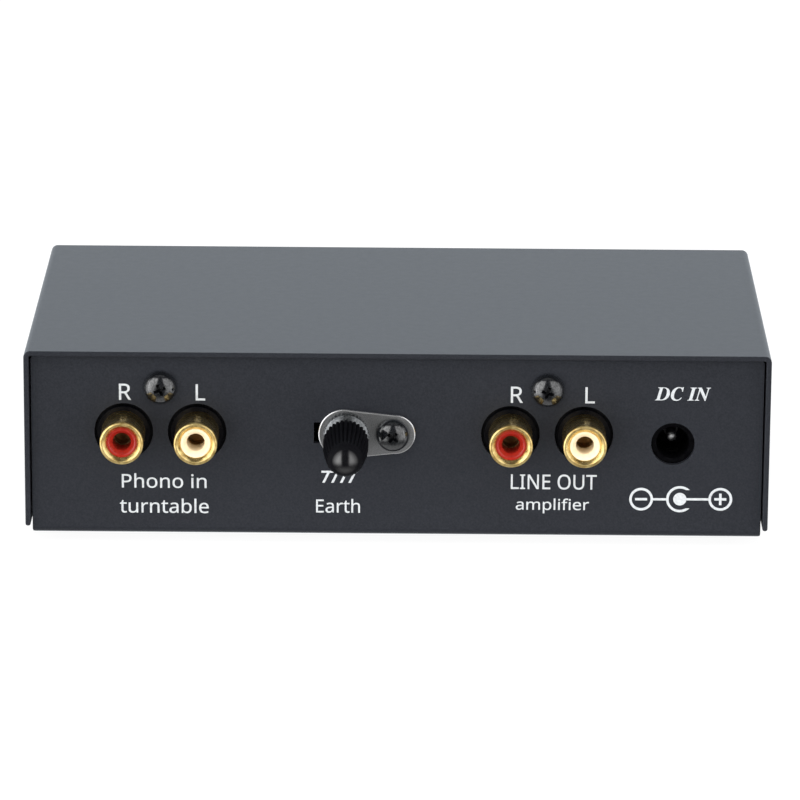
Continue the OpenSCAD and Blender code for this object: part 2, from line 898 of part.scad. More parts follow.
// A ring terminal under the nut, with a tail down the panel and a foot bent onto the board
module ground_lug() color([0.75, 0.72, 0.6]) {
    foot_y = board_top - ground_z;
    on_panel(ground_x, ground_z)
        translate([0, 0, -tray_t - lug_t]) {
            difference() {
                linear_extrude(lug_t) {
                    circle(lug_r);
                    translate([-lug_tail_w / 2, foot_y])
                        square([lug_tail_w, -foot_y]);
                }
                translate([0, 0, -cut_extra])
                    cylinder(h = lug_t + 2 * cut_extra, r = post_r + hole_gap);
            }
            translate([-lug_tail_w / 2, foot_y, -lug_foot_len])
                cube([lug_tail_w, lug_t, lug_foot_len + lug_t]);
        }
}

module ground_nut() color([0.74, 0.74, 0.72]) {
    on_panel(ground_x, ground_z)
        translate([0, 0, -tray_t - lug_t])
            hex_nut(nut_flats, nut_t, post_r + seat_gap);
}

module strap_screw() color([0.07, 0.07, 0.08]) {
    on_panel(strap_screw_x, ground_z)
        translate([0, 0, strap_t])
            pan_screw(strap_screw_len);
}

module strap_nut() color([0.74, 0.74, 0.72]) {
    on_panel(strap_screw_x, ground_z)
        translate([0, 0, -tray_t])
            hex_nut(strap_nut_flats, strap_nut_t, pilot_r);
}

// The threaded tube inside the knob, shown with its thread's mean bore
module knob_insert() color([0.72, 0.6, 0.3]) {
    on_panel(ground_x, ground_z)
        translate([0, 0, insert_back])
            difference() {
                cylinder(h = insert_len, r = insert_r);
                translate([0, 0, -cut_extra])
                    cylinder(h = insert_len + 2 * cut_extra, r = post_r + run_gap);
            }
}

// The moulded knob round a blind bore: teeth with narrow lands, which run out along the taper
module knob_cap() color([0.06, 0.06, 0.06]) {
    bore_len = insert_setback + insert_len + run_gap;
    on_panel(ground_x, ground_z)
        translate([0, 0, knob_back])
            difference() {
                intersection() {
                    linear_extrude(knob_len)
                        polygon(toothed_ring(knob_teeth, knob_r + tooth_land, tooth_depth));
                    rotate_extrude()
                        knob_profile();
                }
                translate([0, 0, -cut_extra])
                    cylinder(h = cut_extra + bore_len, r = insert_r + run_gap);
            }
}

// Half of the knob's outline: a short chamfer, a straight skirt, a taper and the nose,
// whose round edge runs on into the crowned face where the two circles touch
module knob_profile() {
    touch_x = nose_edge_x * nose_face_r / (nose_face_r - nose_edge_r);
    polygon([
        [0, 0],
        [knob_r - skirt_chamfer, 0],
        [knob_r, skirt_chamfer],
        [knob_r, skirt_len],
        [knob_nose_r, taper_end],
        [0, taper_end]
    ]);
    intersection() {
        translate([nose_edge_x, taper_end])
            circle(nose_edge_r);
        translate([0, taper_end])
            square([knob_nose_r, nose_edge_r]);
    }
    intersection() {
        translate([0, knob_len - nose_face_r])
            circle(nose_face_r);
        translate([0, taper_end])
            square([touch_x, knob_len - taper_end]);
    }
}

// ---------------------------------------------------------------- power light

module power_light() color([0.75, 0.15, 0.1]) {
    on_far_panel(light_x, light_z) {
        translate([0, 0, -clip_len])
            cylinder(h = clip_len + light_dome_z, r = light_r);
        translate([0, 0, light_dome_z])
            sphere(light_r);
        translate([0, 0, -clip_len - light_base_t])
            cylinder(h = light_base_t, r = light_base_r);
        for (s = [-1, 1])
            translate([s * light_leg, 0, -clip_len - light_base_t - light_run]) {
                cylinder(h = light_run + light_base_t / 2, d = lead_dia);
                sphere(d = lead_dia);
                rotate([-90, 0, 0])
                    cylinder(h = light_rise, d = lead_dia);
            }
    }
}

// A split-barrel clip whose flange rests on the panel's face
module light_clip() color([0.06, 0.06, 0.06]) {
    on_far_panel(light_x, light_z)
        difference() {
            union() {
                translate([0, 0, -clip_len])
                    cylinder(h = clip_len, r = clip_r);
                cylinder(h = flange_t, d1 = flange_dia, d2 = flange_dia - flange_t);
            }
            translate([0, 0, -clip_len - cut_extra])
                cylinder(h = clip_len + flange_t + 2 * cut_extra, r = light_r + seat_gap);
        }
}

// ---------------------------------------------------------------- components

module amplifier_chip() {
    pin_one_r = 0.6;
    middle = (chip_row_legs - 1) / 2;
    translate([-chip_len / 2, -chip_w / 2, chip_lift])
        difference() {
            cube([chip_len, chip_w, chip_h]);
            translate([0, chip_w / 2, -cut_extra])
                cylinder(h = chip_h + 2 * cut_extra, r = pin_one_r);
        }
    for (side = [-1, 1])
        for (i = [0 : chip_row_legs - 1])
            translate([(i - middle) * leg_pitch, side * chip_row, 0])
                chip_leg(side);
}

// One leg, out of the body's side and down to the board
module chip_leg(side) {
    shoulder = chip_lift + chip_h / 2;
    reach = chip_row - chip_w / 2 + leg_t / 2;
    translate([-leg_w / 2, -leg_t / 2, 0])
        cube([leg_w, leg_t, shoulder]);
    translate([-leg_w / 2, (side > 0) ? leg_t / 2 - reach : -leg_t / 2, shoulder - leg_t])
        cube([leg_w, reach, leg_t]);
}

module amplifier_chips() color([0.08, 0.08, 0.09]) {
    for (spot = [input_chip, output_chip])
        on_board(spot[0], spot[1])
            amplifier_chip();
}

// A can with a crimped groove near its foot and a cross scored in its top
module can_capacitor(d, h) {
    difference() {
        cylinder(h = h, d = d);
        translate([0, 0, cap_groove_z])
            rotate_extrude()
                translate([(d + cap_groove_r) / 2, 0])
                    circle(cap_groove_r);
        for (a = [45, 135])
            translate([0, 0, h - cap_vent_depth])
                rotate(a)
                    translate([-d / 3, -cap_vent_w / 2, 0])
                        cube([2 * d / 3, cap_vent_w, cap_vent_depth + cut_extra]);
    }
}

module coupling_capacitors() color([0.12, 0.14, 0.3]) {
    for (x = [input_x, output_x])
        for (s = [-1, 1])
            on_board(x + s * small_cap_step / 2, small_cap_y)
                can_capacitor(small_cap_dia, small_cap_h);
}

module supply_capacitors() color([0.1, 0.1, 0.12]) {
    for (y = big_cap_spots)
        on_board(big_cap_x, y)
            can_capacitor(big_cap_dia, big_cap_h);
}

module film_capacitors() color([0.6, 0.15, 0.12]) {
    middle = (film_count - 1) / 2;
    for (x = [input_x, output_x])
        for (i = [0 : film_count - 1])
            on_board(x + (i - middle) * film_step - film_w / 2, film_y - film_len / 2)
                cube([film_w, film_len, film_h]);
}

// A body with raised ends on two bent leads
module resistor() {
    r = resistor_dia / 2;
    z = resistor_lift + r;
    end_len = resistor_len / 4;
    translate([0, 0, z])
        rotate([90, 0, 0]) {
            cylinder(h = resistor_len, r = r - resistor_waist, center = true);
            for (s = [-1, 1])
                translate([0, 0, s * (resistor_len - end_len) / 2])
                    cylinder(h = end_len, r = r, center = true);
        }
    bent_lead(z);
}

// A wire at that height through a body, bent down to the board at both ends
module bent_lead(z) {
    r = lead_dia / 2;
    translate([0, 0, z])
        rotate([90, 0, 0])
            cylinder(h = lead_span, r = r, center = true);
    for (s = [-1, 1])
        translate([0, s * lead_span / 2, 0]) {
            cylinder(h = z, r = r);
            translate([0, 0, z])
                sphere(r);
        }
}

module resistors() color([0.2, 0.45, 0.6]) {
    middle = (resistor_count - 1) / 2;
    for (x = [input_x, output_x])
        for (i = [0 : resistor_count - 1])
            on_board(x + (i - middle) * resistor_pitch, resistor_y)
                resistor();
}

// A drum core between two flanges
module filter_coil() color([0.1, 0.1, 0.1]) {
    on_board(coil_spot[0], coil_spot[1]) {
        cylinder(h = 2 * coil_flange + coil_waist, r = coil_core_r);
        for (z = [0, coil_flange + coil_waist])
            translate([0, 0, z])
                cylinder(h = coil_flange, r = coil_r);
    }
}

// A small three-legged package with one flat side
module regulator() color([0.08, 0.08, 0.08]) {
    on_board(regulator_spot[0], regulator_spot[1]) {
        translate([0, 0, regulator_lift])
            intersection() {
                cylinder(h = regulator_h, d = regulator_w);
                translate([-regulator_w / 2, regulator_w / 2 - regulator_d, 0])
                    cube([regulator_w, regulator_d, regulator_h]);
            }
        for (i = [-1 : 1])
            translate([i * leg_pitch / 2 - leg_w / 2, 0, 0])
                cube([leg_w, leg_w, regulator_lift]);
    }
}

module polarity_diode() color([0.1, 0.1, 0.1]) {
    r = diode_dia / 2;
    on_board(diode_spot[0], diode_spot[1]) {
        translate([0, 0, r])
            rotate([90, 0, 0])
                cylinder(h = diode_len, r = r, center = true);
        bent_lead(r);
    }
}

// ---------------------------------------------------------------- named pieces

module input_jack_housing() color([0.07, 0.07, 0.08]) jack_housing(input_x);
module output_jack_housing() color([0.07, 0.07, 0.08]) jack_housing(output_x);

module input_right_sleeve() color([0.85, 0.68, 0.3]) jack_sleeve(input_x - jack_pitch / 2);
module input_left_sleeve() color([0.85, 0.68, 0.3]) jack_sleeve(input_x + jack_pitch / 2);
module output_right_sleeve() color([0.85, 0.68, 0.3]) jack_sleeve(output_x - jack_pitch / 2);
module output_left_sleeve() color([0.85, 0.68, 0.3]) jack_sleeve(output_x + jack_pitch / 2);

module input_right_insulator() color([0.75, 0.1, 0.08]) jack_insulator(input_x - jack_pitch / 2);
module input_left_insulator() color([0.92, 0.92, 0.9]) jack_insulator(input_x + jack_pitch / 2);
module output_right_insulator() color([0.75, 0.1, 0.08]) jack_insulator(output_x - jack_pitch / 2);
module output_left_insulator() color([0.92, 0.92, 0.9]) jack_insulator(output_x + jack_pitch / 2);

module input_right_contact() color([0.8, 0.66, 0.35]) jack_contact(input_x - jack_pitch / 2);
module input_left_contact() color([0.8, 0.66, 0.35]) jack_contact(input_x + jack_pitch / 2);
module output_right_contact() color([0.8, 0.66, 0.35]) jack_contact(output_x - jack_pitch / 2);
module output_left_contact() color([0.8, 0.66, 0.35]) jack_contact(output_x + jack_pitch / 2);

cover();
tray();
cover_screws();
rubber_feet();
circuit_board();
board_standoffs();
board_screws();
input_jack_housing();
output_jack_housing();
jack_screws();
input_right_sleeve();
input_left_sleeve();
output_right_sleeve();
output_left_sleeve();
input_right_insulator();
input_left_insulator();
output_right_insulator();
output_left_insulator();
input_right_contact();
input_left_contact();
output_right_contact();
output_left_contact();
inlet_body();
inlet_pin();
inlet_spring();
ground_strap();
ground_post();
ground_lug();
ground_nut();
strap_screw();
strap_nut();
knob_insert();
knob_cap();
power_light();
light_clip();
amplifier_chips();
coupling_capacitors();
supply_capacitors();
film_capacitors();
resistors();
filter_coil();
regulator();
polarity_diode();
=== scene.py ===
# %% [markdown]
# # A phono preamp in a folded steel case
#
# The CAD model gives every piece its real size and place. This lesson dresses it: it keeps
# the inner pieces, remodels those whose edges and curves catch the light, prints the
# panel's words and gives each surface its finish. The scene is in metres. Most sizes are
# written in millimetres and multiplied by MM.

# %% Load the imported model
import json
import math

import bmesh
import bpy
from mathutils import Matrix, Vector


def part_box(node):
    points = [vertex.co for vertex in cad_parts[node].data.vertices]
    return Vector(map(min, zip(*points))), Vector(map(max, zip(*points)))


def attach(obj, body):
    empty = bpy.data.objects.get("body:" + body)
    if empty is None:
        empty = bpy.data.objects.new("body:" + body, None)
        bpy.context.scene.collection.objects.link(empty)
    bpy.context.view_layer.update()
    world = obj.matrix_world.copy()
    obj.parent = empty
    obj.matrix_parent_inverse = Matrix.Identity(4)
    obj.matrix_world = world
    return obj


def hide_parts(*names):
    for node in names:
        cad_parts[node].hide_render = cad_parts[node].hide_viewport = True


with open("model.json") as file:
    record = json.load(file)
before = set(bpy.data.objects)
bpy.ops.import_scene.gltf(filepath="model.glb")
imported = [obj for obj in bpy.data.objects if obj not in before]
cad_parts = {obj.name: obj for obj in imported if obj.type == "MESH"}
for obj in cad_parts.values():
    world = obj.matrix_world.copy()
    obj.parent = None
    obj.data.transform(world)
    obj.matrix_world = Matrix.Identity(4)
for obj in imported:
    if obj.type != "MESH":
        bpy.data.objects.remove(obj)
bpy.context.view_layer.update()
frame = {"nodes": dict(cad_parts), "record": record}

MM = 0.001

# %% [markdown]
# ## The camera
#
# A long lens about a metre away looks down on the connector panel by sixteen degrees, so
# that the case keeps nearly parallel sides and the jacks' barrels still show their tops.
# The camera's three axes are worked out first and then set as one matrix.

# %% Set up the camera
CAMERA_PLACE = Vector((3.683, -999.265, 312.528)) * MM
PITCH = math.radians(16.3)
YAW = math.radians(0.187)
ROLL = math.radians(0.387)
SENSOR_MM = 36
LENS_MM = 238.9

ahead = Vector((-math.sin(YAW), math.cos(YAW), 0))
level = Vector((math.cos(YAW), math.sin(YAW), 0))
upright = math.sin(PITCH) * ahead + Vector((0, 0, math.cos(PITCH)))
right = math.cos(ROLL) * level + math.sin(ROLL) * upright
up = math.cos(ROLL) * upright - math.sin(ROLL) * level

bpy.ops.object.camera_add()
camera = bpy.context.object
camera.matrix_world = (Matrix.Translation(CAMERA_PLACE)
                       @ Matrix((right, up, right.cross(up))).transposed().to_4x4())
camera.data.sensor_width = SENSOR_MM
camera.data.lens = LENS_MM
bpy.context.scene.camera = camera
bpy.context.scene.view_settings.view_transform = "Standard"
print("lens:", LENS_MM, "mm, distance:", round(CAMERA_PLACE.length, 3), "m")

# %% [markdown]
# ## Places on the connector panel
#
# Finishes and shapes both need to know where things stand, so their places come first. X
# runs along the panel and Z up from the ground. REACH and STRAP_THICK are how far the
# shells and the strap stand out of the panel.

# %% Where things stand
PANEL_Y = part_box("tray")[0].y
JACKS = {"input_right": -52.1, "input_left": -38.1, "output_right": 21.6, "output_left": 35.6}
JACK_Z = 22.45
REACH = 8.35
JACK_SCREWS = ((-45.1, 31.25), (28.6, 31.25))
STRAP_SCREW = (-0.8, JACK_Z)
STRAP_THICK = 1.0
GROUND_POST = (-9.65, JACK_Z)
print("panel at y =", round(PANEL_Y / MM, 2), "mm, jacks at x =", list(JACKS.values()))

# %% [markdown]
# ## Helpers for modelling by hand
#
# An operator acts on all that is selected, so every step starts with an empty selection.
# In edit mode, faces and edges are picked by where their middles lie.

# %% Selecting and entering edit mode
def deselect():
    """Leaves edit mode and selects nothing."""
    if bpy.context.object and bpy.context.object.mode != "OBJECT":
        bpy.ops.object.mode_set(mode="OBJECT")
    bpy.ops.object.select_all(action="DESELECT")


def choose(*pieces):
    """Selects only these pieces, the first one active."""
    deselect()
    for piece in pieces:
        piece.select_set(True)
    bpy.context.view_layer.objects.active = pieces[0]


def enter(piece):
    """Goes into edit mode on a piece, with all of it selected."""
    choose(piece)
    bpy.ops.object.mode_set(mode="EDIT")
    bpy.ops.mesh.select_mode(type="VERT")
    bpy.ops.mesh.select_all(action="SELECT")


def leave(tidy=True):
    """Goes back to object mode, once what meets is merged and all faces look outwards."""
    if tidy:
        bpy.ops.mesh.select_mode(type="VERT")
        bpy.ops.mesh.select_all(action="SELECT")
        bpy.ops.mesh.remove_doubles(threshold=MM * 1e-3)
        bpy.ops.mesh.normals_make_consistent(inside=False)
    bpy.ops.object.mode_set(mode="OBJECT")


MODES = {"verts": "VERT", "edges": "EDGE", "faces": "FACE"}


def pick(kind, test):
    """Selects the vertices, edges or faces whose middle passes the test."""
    bpy.ops.mesh.select_mode(type=MODES[kind])
    bpy.ops.mesh.select_all(action="DESELECT")
    mesh = bmesh.from_edit_mesh(bpy.context.edit_object.data)
    for item in getattr(mesh, kind):
        points = [item.co] if kind == "verts" else [v.co for v in item.verts]
        item.select_set(test(sum(points, Vector()) / len(points)))
    mesh.select_flush_mode()
    bmesh.update_edit_mesh(bpy.context.edit_object.data)


def extrude(x, y, z):
    """Extrudes what is selected by a step in millimetres."""
    bpy.ops.mesh.extrude_region_move(
        TRANSFORM_OT_translate={"value": (x * MM, y * MM, z * MM)})


def scale_level(factor, z):
    """Scales what is selected about the Z axis, at a height in millimetres."""
    bpy.ops.transform.resize(value=(factor, factor, 1), center_override=(0, 0, z * MM))


def named(name):
    """The object that an operator has just made, under a name of its own."""
    piece = bpy.context.object
    piece.name = piece.data.name = name
    return piece


def triangles(piece):
    """How many triangles a piece's faces make."""
    return sum(len(face.vertices) - 2 for face in piece.data.polygons)


# %% [markdown]
# ## Turned shapes
#
# Sleeves, cores, screw heads and feet are all turned, so one helper draws half an outline,
# vertex by vertex, and spins it about the Z axis. Each shape is then set on its panel by
# one matrix, which is applied so that its place is in its mesh.

# %% Draw an outline and spin it
def outline(name, points):
    """A chain of vertices through points, drawn by extruding the first one."""
    deselect()
    bpy.ops.mesh.primitive_plane_add(size=MM)
    piece = named(name)
    enter(piece)
    bpy.ops.mesh.merge(type="CENTER")
    bpy.ops.transform.translate(value=points[0])
    for here, there in zip(points, points[1:]):
        step = Vector(there) - Vector(here)
        bpy.ops.mesh.extrude_vertices_move(TRANSFORM_OT_translate={"value": step})
    return piece


def turn(name, profile, steps=96):
    """Spins a profile of (radius, height) pairs in millimetres about the Z axis."""
    piece = outline(name, [(r * MM, 0, z * MM) for r, z in profile])
    bpy.ops.mesh.select_all(action="SELECT")
    bpy.ops.mesh.spin(steps=steps, angle=math.tau, center=(0, 0, 0), axis=(0, 0, 1))
    leave()
    return piece


def arc(middle, radius, start, end, count=6):
    """Points of an arc, from one angle to another in degrees."""
    angles = [math.radians(start + (end - start) * i / count) for i in range(count + 1)]
    return [(middle[0] + radius * math.cos(a), middle[1] + radius * math.sin(a))
            for a in angles]


# %% Modifiers, copies and places
def apply_modifier(piece, kind, **settings):
    """Adds a modifier with its settings and makes its result the piece's mesh."""
    choose(piece)
    modifier = piece.modifiers.new(kind.lower(), kind)
    for name, value in settings.items():
        setattr(modifier, name, value)
    bpy.ops.object.modifier_apply(modifier=modifier.name)


def soften(piece, width, segments=2, angle=40):
    """Rounds the edges that are sharper than an angle."""
    apply_modifier(piece, "BEVEL", width=width * MM, segments=segments,
                   limit_method="ANGLE", angle_limit=math.radians(angle))


def cut(piece, cutter, operation="DIFFERENCE"):
    """Cuts one piece with another, or keeps what both share, and drops the cutter."""
    apply_modifier(piece, "BOOLEAN", object=cutter, operation=operation, solver="EXACT")
    bpy.data.objects.remove(cutter)


def smooth(piece, angle=35):
    """Smooth shading between sharp edges, which leaves the large flat faces flat."""
    choose(piece)
    bpy.ops.object.shade_smooth_by_angle(angle=math.radians(angle))
    apply_modifier(piece, "WEIGHTED_NORMAL", keep_sharp=True)


def settle(piece, matrix):
    """Moves a piece by a matrix that ends up in its mesh."""
    piece.matrix_world = matrix
    choose(piece)
    bpy.ops.object.transform_apply(location=True, rotation=True, scale=True)


def double(piece, name):
    """A copy of a piece, with a mesh of its own."""
    copy = piece.copy()
    copy.data = piece.data.copy()
    copy.name = copy.data.name = name
    bpy.context.collection.objects.link(copy)
    return copy


def join(name, pieces):
    """Makes one object of several pieces."""
    choose(*pieces)
    bpy.ops.object.join()
    pieces[0].name = pieces[0].data.name = name
    return pieces[0]


QUARTER = math.pi / 2


def on_panel(x, z, out=0):
    """Where a shape drawn on the ground goes to stand on the connector panel, in mm."""
    return (Matrix.Translation((x * MM, PANEL_Y - out * MM, z * MM))
            @ Matrix.Rotation(QUARTER, 4, "X"))


# %% [markdown]
# ## Shader maths as expressions
#
# A material is easier to read as a formula than as boxes and wires. `Wire` wraps one
# output of a node, and the usual signs on it add Math nodes. Any other node comes from
# `Graph.node`, which takes the node's type, its settings and what its sockets get. The
# floor and the sky are written the same way.

# %% Wires
class Wire:
    """One output of a node, which the signs + - * and a few methods lead on."""

    def __init__(self, graph, socket):
        self.graph = graph
        self.socket = socket

    def maths(self, operation, *values):
        return self.graph.node("Math", {"operation": operation}, dict(enumerate(values)))

    def __add__(self, other):
        return self.maths("ADD", self, other)

    def __sub__(self, other):
        return self.maths("SUBTRACT", self, other)

    def __rsub__(self, other):
        return self.maths("SUBTRACT", other, self)

    def __mul__(self, other):
        return self.maths("MULTIPLY", self, other)

    __radd__ = __add__
    __rmul__ = __mul__

    def between(self, low, high):
        """How far this lies from low to high, from 0 to 1."""
        return self.graph.node("MapRange", {"clamp": True},
                               {"Value": self, "From Min": low, "From Max": high})

    def rise(self, low, high, top=1.0):
        """A smooth rise from 0 to a top between two values, or a fall if low is higher."""
        first, last, start, end = (low, high, 0.0, top) if low < high else (high, low, top, 0.0)
        return self.graph.node("MapRange", {"interpolation_type": "SMOOTHSTEP"},
                               {"Value": self, "From Min": first, "From Max": last,
                                "To Min": start, "To Max": end})

    def blend(self, first, second):
        """A colour between two, by this factor."""
        return self.graph.node("Mix", {"data_type": "RGBA"},
                               {"Factor": self, 6: first, 7: second}, 2)


# %% Node trees
class Graph:
    """The node tree of a material or a world, written from an empty one."""

    def __init__(self, owner):
        owner.use_nodes = True
        self.tree = owner.node_tree
        self.tree.nodes.clear()

    def node(self, kind, settings, sockets, output=0):
        """A new node's output, by its number or name."""
        made = self.tree.nodes.new("ShaderNode" + kind)
        for name, value in settings.items():
            setattr(made, name, value)
        self.fill(made, sockets)
        return Wire(self, made.outputs[output])

    def fill(self, made, sockets):
        """Links wires to a node's sockets and sets plain values on them."""
        for name, value in sockets.items():
            if isinstance(value, Wire):
                self.tree.links.new(value.socket, made.inputs[name])
            else:
                made.inputs[name].default_value = value

    def vector(self, operation, first, second=(0, 0, 0), output="Vector"):
        """Maths on whole vectors, some of which needs only the first."""
        return self.node("VectorMath", {"operation": operation}, {0: first, 1: second}, output)

    def end(self, kind, shader):
        """Makes a shader the surface of the material or the world."""
        self.fill(self.tree.nodes.new("ShaderNodeOutput" + kind), {"Surface": shader})


# %% Finishes
class Finish(Graph):
    """A material with one Principled shader, whose constants go on its own sockets."""

    def __init__(self, name, **constants):
        self.material = bpy.data.materials.new(name)
        super().__init__(self.material)
        self.place = self.node("TexCoord", {}, {}, "Object")
        self.shader = self.tree.nodes.new("ShaderNodeBsdfPrincipled")
        self.end("Material", Wire(self, self.shader.outputs[0]))
        for socket, value in constants.items():
            self.set(socket.replace("_", " "), value)

    def set(self, socket, value):
        """Gives a socket of the shader a wire, a number or a colour."""
        if isinstance(value, tuple) and len(value) == 3:
            value = (*value, 1)
        self.fill(self.shader, {socket: value})

    def colours(self, factor, dark, light):
        """Lets the base colour go from dark to light by a factor."""
        self.set("Base Color", factor.blend((*dark, 1), (*light, 1)))

    def along(self, axis):
        """The place along one axis of the model, in metres."""
        return self.node("SeparateXYZ", {}, {0: self.place}, axis)

    def off_axes(self, spots):
        """The distance from the nearest of the axes that leave the panel at spots."""
        nearest = None
        for x, z in spots:
            away = self.vector("SUBTRACT", self.place, (x * MM, 0, z * MM))
            away = self.vector("LENGTH", self.vector("MULTIPLY", away, (1, 0, 1)),
                               output="Value")
            nearest = nearest.maths("MINIMUM", nearest, away) if nearest else away
        return nearest

    def noise(self, size, detail=2.0, where=None, roughness=0.5):
        """Cloudy values about 0.5, with features of a size in millimetres."""
        return self.node("TexNoise", {"noise_dimensions": "3D"},
                         {"Vector": where or self.place, "Scale": 1 / (size * MM),
                          "Detail": detail, "Roughness": roughness})

    def specks(self, size):
        """Distance to the nearest of many scattered points."""
        return self.node("TexVoronoi", {"feature": "F1"},
                         {"Vector": self.place, "Scale": 1 / (size * MM)})

    def bump(self, height, depth):
        """Raises the surface by height times a depth in millimetres."""
        self.set("Normal", self.node("Bump", {}, {"Height": height, "Distance": depth * MM}))


FINISHES = {}


def keep(slot, finish):
    """Files a finish under its slot's name."""
    FINISHES[slot] = finish.material
    print("finish:", slot, "with", len(finish.tree.nodes), "nodes")


# %% [markdown]
# ## Powder coat
#
# The case is steel under a charcoal powder coat. The powder flows out in the oven into a
# satin skin with a very fine pebble, which breaks the reflections up. A fine noise and a
# coarser one give that pebble to the bump, and a little of both goes into the colour and
# the roughness.

# %% Charcoal powder coat
coat = Finish("charcoal_powder_coat", IOR=1.30, Specular_Tint=(0.84, 0.90, 1.0))
pebble = coat.noise(0.32, 3.0)
flow = coat.noise(1.6, 2.0)
coat.colours(pebble.between(0.3, 0.75), (0.0135, 0.0145, 0.0180), (0.0215, 0.0230, 0.0280))
coat.set("Roughness", 0.34 + 0.10 * pebble + 0.05 * flow)
coat.bump(pebble + 0.6 * flow, 0.009)
keep("case_coat", coat)

# %% [markdown]
# ## Gold plate and bright metals
#
# The shells are turned brass, nickelled and then plated with gold. A fast lathe leaves
# faint rings round the barrel, which the plating softens but keeps, and handling leaves
# small spots where it is duller. The rolled lip is a little rougher. The bevel in each
# shell's mouth is smoother than the rest, so it mirrors the coloured core. The strap is
# steel that was tumbled in a drum, which left its face pitted and its rounded edge bright.

# %% Gold plate
LIP_FROM = 1.2
LIP_TO = 0.6
BEVEL_R = (3.45, 3.55)
gold = Finish("gold_plate", Metallic=1.0)
rings = gold.noise(0.22, 1.0, gold.vector("MULTIPLY", gold.place, (0.12, 1.0, 0.12)))
spots = gold.specks(0.55).between(0.10, 0.24)
wear = gold.noise(1.1, 3.0)
lip = gold.along("Y").between(PANEL_Y - (REACH - LIP_FROM) * MM,
                              PANEL_Y - (REACH - LIP_TO) * MM)
clean = spots * wear.between(0.35, 0.6)
off_jack = gold.off_axes([(x, JACK_Z) for x in JACKS.values()])
bevel = 1 - off_jack.between(BEVEL_R[0] * MM, BEVEL_R[1] * MM)
gold.colours(clean, (0.62, 0.42, 0.14), (0.95, 0.73, 0.31))
gold.set("Roughness", 0.36 - 0.12 * spots + 0.09 * lip - 0.12 * bevel + 0.06 * rings)
gold.bump(rings, 0.004)
keep("gold_plate", gold)

# %% Tumbled steel, for the strap
EDGE_FROM = 0.005
EDGE_TO = 0.06
strap = Finish("strap_steel", Metallic=1.0)
pits = strap.noise(0.12, 3.0, roughness=0.7)
polished = strap.along("Y").between(PANEL_Y - (STRAP_THICK - EDGE_FROM) * MM,
                                    PANEL_Y - (STRAP_THICK - EDGE_TO) * MM)
face = pits.between(0.25, 0.75).blend((0.10, 0.102, 0.105, 1), (0.48, 0.485, 0.49, 1))
strap.set("Base Color", polished.blend(face, (0.95, 0.95, 0.96, 1)))
strap.set("Roughness", 0.34 + 0.16 * pits - 0.20 * polished)
strap.bump(pits - pits * polished, 0.014)
keep("strap_steel", strap)

# %% Dull brass, inside the jacks, darkened as painted shade
brass_with_painted_shade = Finish("dull_brass_and_painted_shade", Metallic=1.0)
tarnish = brass_with_painted_shade.noise(0.8, 3.0)
# Tarnished brass, darkened further: painted shade for the dark deep in each socket, where the
# contacts sit.
brass_with_painted_shade.colours(tarnish.between(0.3, 0.7), (0.28, 0.175, 0.075), (0.44, 0.290, 0.135))
brass_with_painted_shade.set("Roughness", 0.42 + 0.12 * tarnish)
brass_with_painted_shade.bump(tarnish, 0.004)
keep("dull_brass_and_painted_shade", brass_with_painted_shade)

# %% Nickel, zinc and tinned brass
def metal(slot, light, dark, size, gloss, depth=0.004):
    """A metal between two colours, with a grain of some size and wider clouds."""
    made = Finish(slot, Metallic=1.0)
    grain = made.noise(size, 3.0)
    cloud = made.noise(size * 6, 2.0)
    made.colours(cloud.between(0.3, 0.7), dark, light)
    made.set("Roughness", gloss + 0.14 * grain + 0.05 * cloud)
    made.bump(grain, depth)
    keep(slot, made)


metal("bright_nickel", (0.80, 0.79, 0.76), (0.62, 0.61, 0.59), 0.3, 0.08)
metal("worn_nickel", (0.25, 0.26, 0.27), (0.10, 0.105, 0.11), 0.10, 0.18, 0.006)
metal("satin_nickel", (0.62, 0.63, 0.63), (0.50, 0.51, 0.51), 0.3, 0.42)
# The inlet's spring sits deep in its bore: its nickel is painted nearly black, as painted shade
# for the dark there.
metal("nickel_painted_shade", (0.03, 0.03, 0.03), (0.015, 0.015, 0.015), 0.3, 0.30)
metal("plated_steel", (0.66, 0.67, 0.66), (0.48, 0.50, 0.52), 0.4, 0.20)
metal("tinned_brass", (0.78, 0.66, 0.40), (0.60, 0.48, 0.26), 0.3, 0.18)

# %% [markdown]
# ## Black screws
#
# Their black oxide is a thin dark film over steel that was oiled afterwards. The film is
# nearly black, and the oil is a clear coat that shines in spots. Round the recess, where
# the punch has roughened the metal, the film has soaked it up and is dull.

# %% Black oxide
PUNCHED_R = (1.0, 1.6)
oxide = Finish("black_oxide", Specular_IOR_Level=0.20, Coat_IOR=2.1, Coat_Roughness=0.08,
               Coat_Tint=(0.88, 0.94, 1.0))
scuff = oxide.noise(0.28, 4.0)
off_screw = oxide.off_axes([*JACK_SCREWS, STRAP_SCREW])
punched = 1 - off_screw.between(PUNCHED_R[0] * MM, PUNCHED_R[1] * MM)
oxide.colours(scuff.between(0.35, 0.7), (0.003, 0.003, 0.004), (0.007, 0.008, 0.009))
oxide.set("Roughness", 0.30 + 0.20 * scuff)
oxide.set("Coat Weight", (0.55 + 0.45 * scuff.between(0.42, 0.56)) * (1 - 0.75 * punched))
oxide.bump(scuff, 0.012)
keep("black_steel", oxide)

# %% [markdown]
# ## Moulded plastics
#
# The housings are satin black, and the cores of the jacks are coloured red for the right
# channel and white for the left. All share one recipe: a colour that hardly varies, a
# gloss that does, and the slight ripple of a moulded surface.

# %% Plastics
def plastic(slot, light, dark, gloss, ripple=0.9, depth=0.004, **constants):
    """A moulding whose gloss and colour drift a little over a ripple of some size."""
    made = Finish(slot, **constants)
    drift = made.noise(ripple, 2.0)
    fine = made.noise(ripple / 5, 2.0)
    made.colours(drift.between(0.3, 0.7), dark, light)
    made.set("Roughness", gloss + 0.10 * fine)
    made.bump(drift + 0.4 * fine, depth)
    keep(slot, made)


